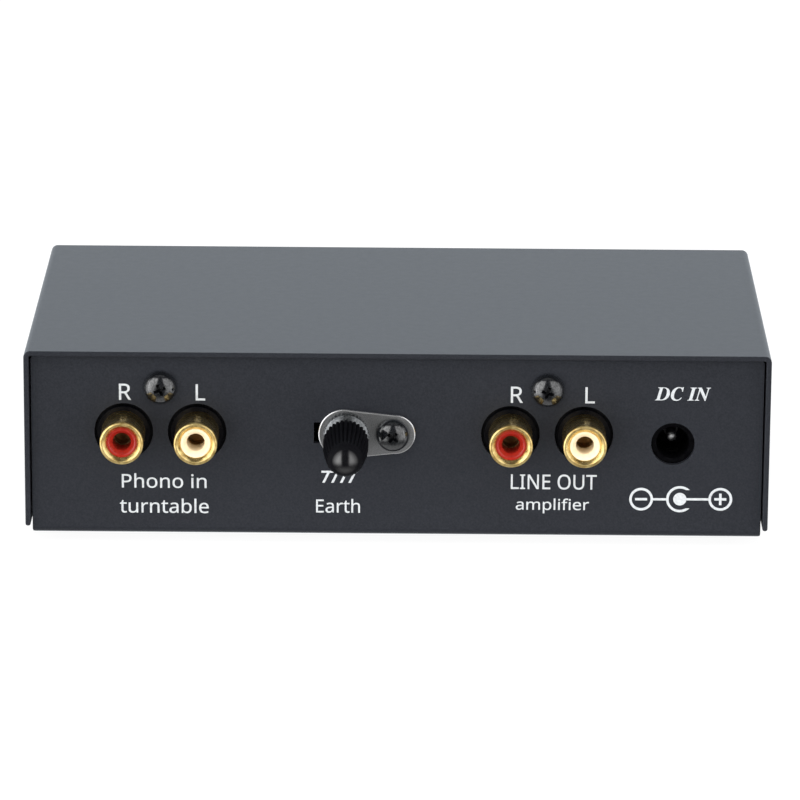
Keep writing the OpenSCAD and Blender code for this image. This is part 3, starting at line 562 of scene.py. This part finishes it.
plastic("black_plastic", (0.004, 0.004, 0.005), (0.002, 0.002, 0.003), 0.20,
        Specular_IOR_Level=0.10)
plastic("red_plastic", (0.29, 0.016, 0.009), (0.24, 0.012, 0.007), 0.07)
plastic("white_plastic", (0.82, 0.69, 0.48), (0.76, 0.62, 0.40), 0.18,
        Specular_IOR_Level=0.35)
plastic("black_rubber", (0.030, 0.030, 0.031), (0.018, 0.018, 0.018), 0.62, 0.4, 0.020)
plastic("chip_resin", (0.028, 0.028, 0.029), (0.016, 0.016, 0.017), 0.48, 0.3, 0.008)
plastic("can_sleeve", (0.030, 0.045, 0.130), (0.020, 0.030, 0.095), 0.22)
plastic("film_resin", (0.42, 0.050, 0.035), (0.33, 0.035, 0.025), 0.20)
plastic("resistor_coat", (0.16, 0.38, 0.52), (0.12, 0.30, 0.43), 0.26)
plastic("light_resin", (0.62, 0.035, 0.020), (0.52, 0.025, 0.015), 0.10)
plastic("board_resin", (0.020, 0.150, 0.055), (0.012, 0.105, 0.038), 0.22, 2.4)
plastic("inlet_plastic", (0.003, 0.003, 0.0035), (0.0015, 0.0015, 0.002), 0.45,
        Specular_IOR_Level=0.01)

# %% [markdown]
# The knob's crowned face came polished out of its mould. Its ribbed sides are satin, with
# the distance from the middle of the polish telling one from the other.

# %% Knob plastic
POLISH = (-9.6, 22.25)
POLISH_R = (1.5, 2.5)
knob_skin = Finish("knob_plastic", Specular_IOR_Level=0.04, Coat_Roughness=0.10, Coat_IOR=2.0)
grain = knob_skin.noise(0.25, 2.0)
knob_skin.colours(grain.between(0.3, 0.7), (0.002, 0.002, 0.003), (0.004, 0.004, 0.005))
knob_skin.set("Roughness", 0.48 + 0.10 * grain)
off_polish = knob_skin.off_axes([POLISH])
knob_skin.set("Coat Weight", 1 - off_polish.between(POLISH_R[0] * MM, POLISH_R[1] * MM))
knob_skin.bump(grain, 0.003)
keep("knob_plastic", knob_skin)

# %% [markdown]
# ## Silk-screen ink
#
# The words are a thin, flat coat of white ink that takes on the pebble of the powder coat
# below it, so its bump is the same noise.

# %% White ink
ink = Finish("white_ink")
ink_pebble = ink.noise(0.32, 3.0)
ink.colours(ink_pebble.between(0.25, 0.6), (0.405, 0.420, 0.435), (0.525, 0.545, 0.560))
ink.set("Roughness", 0.42 + 0.16 * ink_pebble)
ink.bump(ink_pebble, 0.012)
keep("ink", ink)

# %% [markdown]
# ## Finishes for the pieces that stay as they are
#
# Every CAD node names its slot in the record, so the pieces that aren't remodelled, most
# of them inside the case, get their finish from that list. The inlet's pin, which has seen
# wear, gets a duller satin one. The jacks' contacts and the inlet's spring lie deep in their
# sockets and get darker ones, which are painted shade for the dark there.

# %% Give every CAD node its finish
SLOT_OF = {row["node"]: row["material_slot"] for row in frame["record"]["subparts"]}
# The spring's near-black nickel and the contacts' darkened brass are painted shade for the dark
# deep in their sockets. The pin only gets a duller satin.
DULLER_OR_PAINTED_SHADE = {"inlet_spring": "nickel_painted_shade", "inlet_pin": "satin_nickel"}
for node, slot in SLOT_OF.items():
    mesh = frame["nodes"][node].data
    mesh.materials.clear()
    mesh.materials.append(FINISHES["dull_brass_and_painted_shade" if node.endswith("_contact")
                                   else DULLER_OR_PAINTED_SHADE.get(node, slot)])
print(len(SLOT_OF), "nodes dressed")


def stand_for(piece, node, body="case", finish=None):
    """A finished piece takes a node's place, slot and finish."""
    piece.data.materials.clear()
    piece.data.materials.append(FINISHES[finish or SLOT_OF[node]])
    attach(piece, body)
    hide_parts(node)
    print(piece.name, "stands for", node, "with", triangles(piece), "triangles")


# %% [markdown]
# ## Edges that catch the light
#
# Sheet metal and mouldings have small radii at every edge. For pieces whose form is right
# already, a copy of the CAD mesh is merged, its flat areas are joined into single faces,
# and a bevel rounds what is left of the edges.

# %% Copy a node with rounded edges
def rounded_copy(node, width, segments=2, finish=None):
    """Puts a copy of a CAD node with bevelled edges in its place."""
    piece = double(frame["nodes"][node], node + "_finished")
    piece.parent = None
    enter(piece)
    bpy.ops.mesh.remove_doubles(threshold=MM * 2e-3)
    bpy.ops.mesh.dissolve_limited(angle_limit=math.radians(1))
    leave()
    soften(piece, width, segments)
    smooth(piece)
    stand_for(piece, node, finish=finish)


rounded_copy("tray", 0.12)
rounded_copy("input_jack_housing", 0.14)
rounded_copy("output_jack_housing", 0.14)
rounded_copy("ground_strap", 0.32, 3)
rounded_copy("inlet_body", 0.12, finish="inlet_plastic")
rounded_copy("light_clip", 0.12)

# %% [markdown]
# ## The folded cover
#
# The cover is one sheet folded twice. The line of its outer skin is drawn first, with an
# arc at each bend, and extruded along the case. Solidify gives the sheet its thickness
# inwards. The lower edge of each side is rounded, two holes are drilled for the screws,
# and a bevel breaks the cut edges.

# %% Fold the cover
cover_low, cover_high = (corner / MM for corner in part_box("cover"))
SHEET = 1.0
BEND = 1.3
EDGE_ROUND = 0.42
MID_Y = 8.75
half = cover_high.x
roof = cover_high.z
fold = ([(half, cover_low.z)] + arc((half - BEND, roof - BEND), BEND, 0, 90, 10)
        + arc((BEND - half, roof - BEND), BEND, 90, 180, 10) + [(-half, cover_low.z)])
cover = outline("case_cover", [(x * MM, cover_low.y * MM, z * MM) for x, z in fold])
bpy.ops.mesh.select_all(action="SELECT")
extrude(0, cover_high.y - cover_low.y, 0)
leave()
apply_modifier(cover, "SOLIDIFY", thickness=SHEET * MM, offset=-1, use_even_offset=True)
enter(cover)
pick("edges", lambda middle: middle.z < (cover_low.z + 0.01) * MM
     and abs(middle.y - MID_Y * MM) < 1 * MM)
bpy.ops.mesh.bevel(offset=EDGE_ROUND * MM, segments=4, profile=0.5)
leave()
print("cover is", [round(v / MM, 2) for v in cover.dimensions], "mm")

# %% Drill and finish the cover
COVER_SCREW_Z = 10.0
COVER_HOLE_R = 1.7
deselect()
bpy.ops.mesh.primitive_cylinder_add(
    vertices=48, radius=COVER_HOLE_R * MM, depth=3 * half * MM,
    location=(0, MID_Y * MM, COVER_SCREW_Z * MM), rotation=(0, QUARTER, 0))
cut(cover, bpy.context.object)
soften(cover, 0.2, 3, 50)
smooth(cover, 30)
stand_for(cover, "cover")

# %% [markdown]
# ## Phono jacks
#
# Each shell is a thin tube, with a slimmer neck where it goes through the panel. Its mouth
# is rolled over to a round edge and then bevelled in towards the core. The core is a turned
# moulding with a steep dish that leads the plug's pin into the contact. Both are drawn
# once, as half outlines, and copied to four places.

# %% Turn a shell and a core
SHELL_R = 4.15
SHELL_BORE = 3.65
NECK_END = 0.2
LIP_R = 2.85
LIP_D = 0.65
BEAD = 0.38
ROOT = 6.0
NECK_CUT = 0.2
CORE_R = 3.6
CORE_ROOT = 5.95
CONTACT_R = 2.25
DISH_D = 1.35
PIN_HOLE_R = 1.70
PIN_HOLE_D = 5.2

mouth = REACH - LIP_D
shell = turn("shell", [
    (SHELL_BORE, -ROOT), (SHELL_R - NECK_CUT, -ROOT), (SHELL_R - NECK_CUT, NECK_END),
    (SHELL_R, NECK_END),
    *arc((SHELL_R - BEAD, REACH - BEAD), BEAD, 0, 90, 8),
    (LIP_R + LIP_D + 0.1, REACH), (LIP_R + LIP_D, REACH - 0.05),
    (LIP_R + 0.05, mouth), (LIP_R, mouth - 0.08),
    (SHELL_BORE, REACH - 2 * LIP_D), (SHELL_BORE, -ROOT)], 128)
core = turn("core", [
    (CONTACT_R, -CORE_ROOT), (CORE_R, -CORE_ROOT), (CORE_R, REACH - DISH_D),
    (LIP_R - 0.05, mouth - 0.05), (2.50, mouth - 0.05), (2.42, mouth - 0.08),
    (2.35, mouth - 0.15), (PIN_HOLE_R + 0.09, REACH - DISH_D),
    (PIN_HOLE_R + 0.03, REACH - DISH_D - 0.10), (PIN_HOLE_R, REACH - DISH_D - 0.25),
    (PIN_HOLE_R, REACH - PIN_HOLE_D), (CONTACT_R, REACH - PIN_HOLE_D),
    (CONTACT_R, -CORE_ROOT)], 96)
smooth(shell)
smooth(core)
print("shell:", triangles(shell), "core:", triangles(core), "triangles")

# %% Draw a bar
def bar(name, low, high):
    """A bar between two corners, extruded up from a plane, in millimetres."""
    deselect()
    middle = [(a + b) / 2 * MM for a, b in zip(low, high)]
    bpy.ops.mesh.primitive_plane_add(size=1, location=(middle[0], middle[1], low[2] * MM))
    piece = named(name)
    piece.scale = ((high[0] - low[0]) * MM, (high[1] - low[1]) * MM, 1)
    bpy.ops.object.transform_apply(location=True, rotation=True, scale=True)
    enter(piece)
    extrude(0, 0, high[2] - low[2])
    leave()
    return piece


# %% Add the solder tail to the shell
TAIL_HALF = 0.6
TAIL_THICK = 0.5
tail = bar("tail", (-TAIL_HALF, -11.45, -ROOT), (TAIL_HALF, -3.7, -ROOT + TAIL_THICK))
soften(tail, 0.05)
shell = join("shell", [shell, tail])

# %% Copy both to the four jacks
for channel, x in JACKS.items():
    for model, kind in ((shell, "sleeve"), (core, "insulator")):
        piece = double(model, f"{channel}_{kind}_turned")
        settle(piece, on_panel(x, JACK_Z))
        stand_for(piece, f"{channel}_{kind}")
for model in (shell, core):
    bpy.data.objects.remove(model)

# %% [markdown]
# ## Pan-head screws
#
# Five screws show. The head is turned with a small flat rim, and its cross recess is cut
# by two tapered bars, as the punch does it. A bevel of a few hundredths of a millimetre
# takes the sharpness off the recess, as plating does.

# %% Turn a screw and cut its cross
HEAD_R = 3.15
HEAD_H = 2.3
RIM = 0.35
SHANK_R = 1.5
ARM = 1.5
ARM_HALF = 0.36
CROSS_D = 1.5
CROSS_TAPER = (0.35, 0.55, 1)


def screw(name, length):
    """A screw that stands on its head's underside, with a shank of a length below."""
    dome = [(HEAD_R * math.cos(math.radians(a)) ** 0.8,
             RIM + (HEAD_H - RIM) * math.sin(math.radians(a))) for a in range(0, 90, 9)]
    piece = turn(name, [(0, -length), (SHANK_R - 0.3, -length), (SHANK_R, -length + 0.3),
                        (SHANK_R, 0), (HEAD_R - 0.1, 0), (HEAD_R, 0.1), *dome,
                        (0, HEAD_H)], 64)
    for angle in (0, QUARTER):
        arm = bar("arm", (-ARM, -ARM_HALF, HEAD_H - CROSS_D), (ARM, ARM_HALF, HEAD_H + 0.5))
        enter(arm)
        pick("faces", lambda middle: middle.z < (HEAD_H - CROSS_D + 0.1) * MM)
        bpy.ops.transform.resize(value=CROSS_TAPER)
        leave()
        settle(arm, Matrix.Rotation(angle, 4, "Z"))
        cut(piece, arm)
    soften(piece, 0.03, 1, 45)
    smooth(piece)
    return piece


jack_screw = screw("jack_screw", 7)
strap_screw = screw("strap_screw_finished", 6)
cover_screw = screw("cover_screw", 2.7)
print("screws:", triangles(jack_screw), "triangles each")

# %% Drive the screws
JACK_SCREW_TURNS = (math.radians(24), math.radians(-17))
STRAP_SCREW_TURN = 0.9
pair = [double(jack_screw, f"jack_screw_{side}") for side in ("in", "out")]
for piece, spot, angle in zip(pair, JACK_SCREWS, JACK_SCREW_TURNS):
    settle(piece, on_panel(*spot) @ Matrix.Rotation(angle, 4, "Z"))
stand_for(join("jack_screws_finished", pair), "jack_screws")
settle(strap_screw, on_panel(*STRAP_SCREW, STRAP_THICK)
       @ Matrix.Rotation(STRAP_SCREW_TURN, 4, "Z"))
stand_for(strap_screw, "strap_screw")
pair = [double(cover_screw, f"cover_screw_{side}") for side in ("left", "right")]
for piece, side in zip(pair, (-1, 1)):
    settle(piece, Matrix.Translation((side * half * MM, MID_Y * MM, COVER_SCREW_Z * MM))
           @ Matrix.Rotation(side * QUARTER, 4, "Y"))
stand_for(join("cover_screws_finished", pair), "cover_screws")
for model in (jack_screw, cover_screw):
    bpy.data.objects.remove(model)

# %% [markdown]
# ## The ground post
#
# The post is an M4 stud with a serrated collar that bites into the wire. The thread comes
# from a zigzag one pitch tall that the Screw modifier winds up the stud, trimmed by a
# turned shape with a chamfer at each end. The collar is a ring of points, extruded and
# bevelled, with a low cone on it.

# %% Wind the thread
THREAD_R = 1.975
THREAD_D = 0.4
THREAD_PITCH = 0.7
POST_BACK = -6.0
POST_TIP = 11.375
TRIM_R = THREAD_R + 0.3
TRIM = 0.7
TURNS = 27
start = POST_BACK - THREAD_PITCH
thread = outline("thread", [(r * MM, 0, (start + z * THREAD_PITCH) * MM) for r, z in (
    (THREAD_R - THREAD_D, 0.0), (THREAD_R, 0.42), (THREAD_R, 0.55),
    (THREAD_R - THREAD_D, 1.0))])
leave(tidy=False)
apply_modifier(thread, "SCREW", axis="Z", angle=math.tau, steps=48, render_steps=48,
               screw_offset=THREAD_PITCH * MM, iterations=TURNS, use_merge_vertices=True,
               merge_threshold=MM * 1e-3, use_smooth_shade=True)
enter(thread)
bpy.ops.mesh.remove_doubles(threshold=MM * 1e-3)
bpy.ops.mesh.select_all(action="DESELECT")
bpy.ops.mesh.select_non_manifold()
bpy.ops.mesh.edge_face_add()
leave()
trimmed = turn("trimmed", [
    (0, POST_BACK), (THREAD_R - THREAD_D, POST_BACK), (TRIM_R, POST_BACK + TRIM),
    (TRIM_R, POST_TIP - TRIM), (THREAD_R - THREAD_D, POST_TIP), (0, POST_TIP)], 48)
cut(thread, trimmed, "INTERSECT")
print("thread:", triangles(thread), "triangles")

# %% Serrate the collar
def toothed_disc(name, teeth, tip, valley, low, high):
    """A disc whose rim is a ring of points, raised from a circle, in millimetres."""
    deselect()
    bpy.ops.mesh.primitive_circle_add(vertices=2 * teeth, radius=tip * MM,
                                      fill_type="NGON", location=(0, 0, low * MM))
    piece = named(name)
    settle(piece, piece.matrix_world.copy())
    step = math.pi / teeth
    enter(piece)
    pick("verts", lambda v: round(math.atan2(v.y, v.x) / step) % 2 == 1)
    scale_level(valley / tip, 0)
    bpy.ops.mesh.select_all(action="SELECT")
    extrude(0, 0, high - low)
    leave()
    return piece


COLLAR_TEETH = 36
COLLAR_TIP = 4.45
COLLAR_VALLEY = 4.25
COLLAR_TOP = 2.2
CONE_R = 4.2
CONE_TOP_R = 2.9
CONE_TOP = 2.7
collar = toothed_disc("collar", COLLAR_TEETH, COLLAR_TIP, COLLAR_VALLEY,
                      STRAP_THICK, COLLAR_TOP)
soften(collar, 0.08, 2, 12)
smooth(collar)
cone = turn("cone", [(0, COLLAR_TOP - 0.1), (CONE_R, COLLAR_TOP - 0.1), (CONE_R, COLLAR_TOP),
                     *arc((CONE_R - 0.08, COLLAR_TOP), 0.08, 20, 70, 3),
                     (CONE_TOP_R + 0.08, CONE_TOP - 0.02), (CONE_TOP_R, CONE_TOP),
                     (0, CONE_TOP)], 96)
smooth(cone)
post = join("ground_post_finished", [thread, collar, cone])
settle(post, on_panel(*GROUND_POST))
stand_for(post, "ground_post", finish="worn_nickel")

# %% [markdown]
# ## The knurled knob
#
# The knob is moulded round a threaded insert. Thirty rounded ribs run the whole way down
# its taper and end in the round edge of the nose, inside which the crowned face is smooth.
# The ring is a circle with eight points to each rib. It is extruded up the knob, and at
# every level its points go to the rib's outline or to the knob's own profile, whichever
# is nearer the axis, so the ribs end by themselves where the edge turns in. The nose is
# two arcs that touch: its edge, and the crowned face.

# %% Raise the knob ring by ring
KNOB_BACK = 5.5
KNOB_LEN = 13.3
KNOB_R = 4.3
NOSE_R = 3.65
FACE_R = 6.0
EDGE_R = 2.2
SKIRT = 5.0
RIB_DEPTH = 0.45
NOSE_RIB_DEPTH = 0.34
RIB_ROUND = 1.7
RIBS = 30
PER_RIB = 8
CHAMFER = 0.2
TAPER_RINGS = 6
SAME_LEVEL = 1e-6
EDGE_X = NOSE_R - EDGE_R
FACE_Z = KNOB_LEN - FACE_R
TAPER_END = FACE_Z + math.sqrt((FACE_R - EDGE_R) ** 2 - EDGE_X ** 2)
TOUCH = math.degrees(math.acos(EDGE_X / (FACE_R - EDGE_R)))


def taper(z):
    """How far along the taper a level is, from 0 at the skirt to 1 at the nose and on."""
    return max(0.0, z - SKIRT) / (TAPER_END - SKIRT)


def cone_radius(z):
    """The radius over the ribs' tops."""
    return KNOB_R - (KNOB_R - NOSE_R) * taper(z)


def rib_radius(i, z):
    """The radius of each of the eight points of a rib: a round top and a sharp root."""
    turn_part = abs((i % PER_RIB) / PER_RIB - 0.5) * 2
    depth = RIB_DEPTH - (RIB_DEPTH - NOSE_RIB_DEPTH) * taper(z)
    return cone_radius(z) - depth * turn_part ** RIB_ROUND


profile = ([(KNOB_R - CHAMFER + math.sqrt(CHAMFER ** 2 - (CHAMFER - z) ** 2), z)
            for z in (0, 0.03, 0.09, CHAMFER)]
           + [(cone_radius(z), z) for z in (2, 4, SKIRT)]
           + [(cone_radius(z), z) for z in (SKIRT + (TAPER_END - SKIRT) * i / TAPER_RINGS
                                            for i in range(1, TAPER_RINGS))]
           + arc((EDGE_X, TAPER_END), EDGE_R, 0, TOUCH, 10)
           + arc((0, FACE_Z), FACE_R, TOUCH, 87, 5)[1:])
deselect()
bpy.ops.mesh.primitive_circle_add(vertices=RIBS * PER_RIB, radius=KNOB_R * MM,
                                  fill_type="NOTHING")
knob = named("knob_cap_finished")
enter(knob)
width = math.tau / (RIBS * PER_RIB)
reach = [KNOB_R] * PER_RIB
here = 0
for limit, level in profile:
    if level > here:
        pick("verts", lambda v: abs(v.z - here * MM) < SAME_LEVEL)
        extrude(0, 0, level - here)
        here = level
    targets = [min(rib_radius(i, level), limit) for i in range(PER_RIB)]
    factors = [round(target / now, 9) for target, now in zip(targets, reach)]
    for factor in set(factors) - {1.0}:
        pick("verts", lambda v: abs(v.z - level * MM) < SAME_LEVEL and factor == factors[
            round(math.atan2(v.y, v.x) / width) % PER_RIB])
        scale_level(factor, level)
    reach = [now * factor for now, factor in zip(reach, factors)]
print("ribbed rings:", len(profile))

# %% Close the face and bore the back
BORE_R = 2.95
BACK_R = 4.0
BORE_DEPTH = 8.775
pick("verts", lambda v: abs(v.z - here * MM) < SAME_LEVEL)
extrude(0, 0, KNOB_LEN - here)
bpy.ops.mesh.merge(type="CENTER")
pick("verts", lambda v: abs(v.z) < SAME_LEVEL)
extrude(0, 0, 0)
scale_level(BORE_R / BACK_R, 0)
extrude(0, 0, BORE_DEPTH)
bpy.ops.mesh.edge_face_add()
leave()
smooth(knob, 50)
settle(knob, on_panel(*GROUND_POST, KNOB_BACK))
stand_for(knob, "knob_cap", "knob_grip")

# %% [markdown]
# ## Rubber feet
#
# Stick-on feet are moulded with a round shoulder and a shallow dish underneath.

# %% Turn the feet
FOOT_R = 4.5
FOOT_H = 2.0
FOOT_PAD_R = 3.6
SHOULDER = 0.45
HOLLOW_R = 2.6
HOLLOW_D = 0.25
FEET_X = (-58, 58)
FEET_Y = (-18.25, 35.75)
foot = turn("foot", [(0, HOLLOW_D), (HOLLOW_R, HOLLOW_D), (HOLLOW_R + 0.3, 0), (FOOT_PAD_R, 0),
                     *arc((FOOT_PAD_R, SHOULDER), SHOULDER, -90, 0, 4),
                     (FOOT_R, FOOT_H), (0, FOOT_H)], 64)
smooth(foot)
feet = []
for x in FEET_X:
    for y in FEET_Y:
        copy = double(foot, f"foot_{len(feet)}")
        settle(copy, Matrix.Translation((x * MM, y * MM, 0)))
        feet.append(copy)
bpy.data.objects.remove(foot)
stand_for(join("rubber_feet_finished", feet), "rubber_feet")

# %% [markdown]
# ## Words and signs on the panel
#
# The panel is printed with plain words: channel letters over the jacks, what each pair is
# for below them, the ground sign, and the polarity of the power plug. Words are text
# objects made into thin meshes. They stand a few hundredths of a millimetre proud of the
# coat, as ink does, so they never flicker with it. The print's heights count from BASE,
# the underside of the case.

# %% Print a word
INK = 0.03
BASE = 2.0
FONT = bpy.data.fonts.load(bpy.utils.system_resource("DATAFILES", path="fonts")
                           + "/NotoSansMath-Regular.woff2")
printed = []


def word(text, x, z, height, width=None):
    """Text centred on a spot of the panel, with its height and its width in mm."""
    deselect()
    bpy.ops.object.text_add()
    piece = bpy.context.object
    piece.data.body = text
    piece.data.font = FONT
    piece.data.align_x = "CENTER"
    piece.data.align_y = "CENTER"
    piece.data.offset = 0.003
    piece.data.extrude = 0.001
    bpy.ops.object.convert(target="MESH")
    low = Vector([min(v.co[i] for v in piece.data.vertices) for i in range(3)])
    high = Vector([max(v.co[i] for v in piece.data.vertices) for i in range(3)])
    span = high - low
    tall = height * MM / span.y
    wide = width * MM / span.x if width else tall
    middle = (low + high) / 2
    settle(piece, on_panel(x, z + BASE, INK / 2)
           @ Matrix.Diagonal((wide, tall, INK * MM / span.z, 1))
           @ Matrix.Translation(-middle))
    printed.append(piece)


CHANNEL_Z = 28.3
DC_IN = "\U0001D46B\U0001D46A \U0001D470\U0001D475"
for letter, x in (("R", -51.8), ("L", -37.45), ("R", 22.75), ("L", 36.67)):
    word(letter, x, CHANNEL_Z, 3.2)
word("Phono in", -44.45, 10.65, 2.9, 16.2)
word("turntable", -44.45, 5.65, 2.9, 17.0)
word("LINE OUT", 30.0, 11.0, 3.0, 16.4)
word("amplifier", 29.8, 6.2, 3.0, 14.0)
word("Earth", -11.2, 5.9, 2.8)
word(DC_IN, 54.3, 28.7, 2.7, 10.6)
print(len(printed), "words")

# %% Draw lines and rings
def stroke(x1, z1, x2, z2, width):
    """A printed line between two spots of the panel."""
    run = Vector((x2 - x1, z2 - z1))
    piece = bar("stroke", (0, -width / 2, 0), (run.length, width / 2, INK))
    settle(piece, on_panel(x1, z1 + BASE)
           @ Matrix.Rotation(math.atan2(run.y, run.x), 4, "Z"))
    printed.append(piece)


def ring(x, z, radius, width, opening=0):
    """A printed ring, with a gap on its right when an opening in degrees is given."""
    inner = radius - width
    piece = turn("ring", [(inner, 0), (radius, 0), (radius, INK), (inner, INK), (inner, 0)], 72)
    settle(piece, on_panel(x, z + BASE))
    if opening:
        half_gap = radius * math.tan(math.radians(opening / 2))
        wedge = bar("wedge", (0, -half_gap, -1), (2 * radius, half_gap, 1))
        settle(wedge, on_panel(x, z + BASE))
        cut(piece, wedge)
    printed.append(piece)


def dot(x, z, radius):
    """A printed disc."""
    piece = turn("dot", [(0, 0), (radius, 0), (radius, INK), (0, INK)], 48)
    settle(piece, on_panel(x, z + BASE))
    printed.append(piece)


# %% Print the ground sign
EARTH_Z = 12.7
THIN = 0.38
SLANT = 0.95
stroke(-14.4, EARTH_Z, -7.6, EARTH_Z, THIN)
for x in (-13.05, -11.35, -9.68, -8.05):
    slanted = bar("stroke", (x - 0.24, -2.0, 0), (x + 0.24, 0, INK))
    enter(slanted)
    pick("verts", lambda v: v.y < -1 * MM)
    bpy.ops.transform.translate(value=(-SLANT * MM, 0, 0))
    leave()
    settle(slanted, on_panel(0, EARTH_Z - THIN / 2 + BASE))
    printed.append(slanted)

# %% Print the plug's polarity
LINE = 0.45
BOLD = 0.48
MINUS = (46.75, 7.7)
PLUG = (54.15, 7.75)
PLUS = (61.89, 7.78)
SIGN_HALF = 1.15
ring(*MINUS, 2.27, BOLD)
stroke(MINUS[0] - SIGN_HALF, MINUS[1], MINUS[0] + SIGN_HALF, MINUS[1], BOLD)
stroke(49.02, 7.7, 51.53, 7.7, LINE)
ring(*PLUG, 2.62, BOLD, 70)
dot(*PLUG, 1.26)
stroke(55.4, 7.75, 59.61, 7.75, LINE)
ring(*PLUS, 2.28, BOLD)
stroke(PLUS[0] - SIGN_HALF, PLUS[1], PLUS[0] + SIGN_HALF, PLUS[1], BOLD)
stroke(PLUS[0], PLUS[1] - SIGN_HALF, PLUS[0], PLUS[1] - BOLD / 2, BOLD)
stroke(PLUS[0], PLUS[1] + BOLD / 2, PLUS[0], PLUS[1] + SIGN_HALF, BOLD)
legend = join("panel_legend", printed)
legend.data.materials.clear()
legend.data.materials.append(FINISHES["ink"])
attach(legend, "case")
print("legend of", len(printed), "pieces:", triangles(legend), "triangles")

# %% [markdown]
# ## Floor and light
#
# The camera sees a white floor under a white sky. All other rays miss the floor and see a
# dark room: a broad bright backdrop behind the case, which shines in its lid and is a
# little cool, a tall softbox in front at the left and another at the right, a wall at each
# side, a pale ground and a faint glow overhead. The dark band between the softboxes is
# what round black pieces show. The room is brighter towards its left, so that round pieces
# have a light side. Each of these is a rise or a fall over a part of the directions.

# %% Floor
WHITE = (1, 1, 1, 1)
deselect()
bpy.ops.mesh.primitive_plane_add(size=6)
floor = bpy.context.object
floor.name = "floor"
floor.visible_glossy = False
floor.visible_diffuse = False
paper = bpy.data.materials.new("paper")
graph = Graph(paper)
lit = graph.node("BsdfDiffuse", {}, {"Color": (0.8, 0.8, 0.8, 1)})
glow = graph.node("Emission", {}, {"Color": WHITE, "Strength": 1.1})
graph.end("Material", graph.node("MixShader", {}, {0: 0.85, 1: lit, 2: glow}))
floor.data.materials.append(paper)

# %% The room that reflections see
BACKDROP = 1.45
FRONT = 1.75
SIDE = 1.2
GROUND = 0.55
ZENITH = 0.15
ROOM = 0.03
world = bpy.context.scene.world or bpy.data.worlds.new("studio")
bpy.context.scene.world = world
graph = Graph(world)
by_camera = graph.node("LightPath", {}, {}, "Is Camera Ray")
way = graph.node("TexCoord", {}, {}, "Generated")
way_x, way_y, height = (graph.node("SeparateXYZ", {}, {0: way}, axis) for axis in "XYZ")
flat = graph.vector("NORMALIZE", graph.vector("MULTIPLY", way, (1, 1, 0)))
flat_x, flat_y = (graph.node("SeparateXYZ", {}, {0: flat}, axis) for axis in "XY")
beside = flat_x.maths("ABSOLUTE", flat_x)
across = way_x.maths("ABSOLUTE", way_x)
lean = graph.node("MapRange", {}, {"Value": way_x, "From Min": -0.5, "From Max": 0.5,
                                   "To Min": 1.25, "To Max": 0.75})

softboxes = (beside.rise(0.16, 0.34, FRONT) * beside.rise(0.97, 0.85)
             * height.rise(0.85, 0.65) * height.rise(-0.65, -0.25)
             * flat_y.rise(0.0, -0.3) * lean)
behind = way_y.rise(0.1, 0.7)
walls = across.rise(0.72, 0.92, SIDE) * lean
ground = height.rise(-0.5, -0.9, GROUND)
zenith = height.rise(0.80, 0.95, ZENITH)
room = softboxes + behind * BACKDROP + walls + ground + zenith + ROOM

# %% The sky: white for the camera, the room for all else
COOL = (0.92, 1.0, 1.07, 1)
sky = graph.node("Background", {}, {"Color": (behind * (1 - by_camera)).blend(WHITE, COOL),
                                    "Strength": by_camera.blend(room, WHITE)})
graph.end("World", sky)
print("floor and room ready, with", len(graph.tree.nodes), "nodes in the room")

# %% [markdown]
# The body light comes from large lamps that gloss can't see, one in front, one above and
# one at each side. They lift the colours of paint, print and plastics and leave the
# reflections to the room. A long low lamp stands for the light that a table throws up at
# the foot of the panel.

# %% Body light
def body_light(name, place, aim, wide, deep, watts):
    """A soft rectangle of light that only paint, print and plastic take."""
    deselect()
    bpy.ops.object.light_add(type="AREA", location=place)
    lamp = bpy.context.object
    lamp.name = name
    lamp.data.shape = "RECTANGLE"
    lamp.data.size = wide
    lamp.data.size_y = deep
    lamp.data.energy = watts
    lamp.visible_glossy = False
    lamp.visible_camera = False
    lamp.rotation_euler = (Vector(aim) - Vector(place)).to_track_quat("-Z", "Y").to_euler()


PANEL_MIDDLE = (0, PANEL_Y, 0.022)
PANEL_FOOT = (0, PANEL_Y, 0.008)
body_light("front_light", (0, -0.90, 0.32), PANEL_MIDDLE, 0.5, 0.3, 0.8)
body_light("top_light", (0, -0.35, 0.90), PANEL_MIDDLE, 0.9, 0.5, 5.0)
for side in (-1, 1):
    body_light("side_light", (side * 0.80, -0.30, 0.20), PANEL_MIDDLE, 0.5, 0.5, 2.0)
body_light("table_light", (0, -0.085, 0.004), PANEL_FOOT, 0.18, 0.02, 0.04)
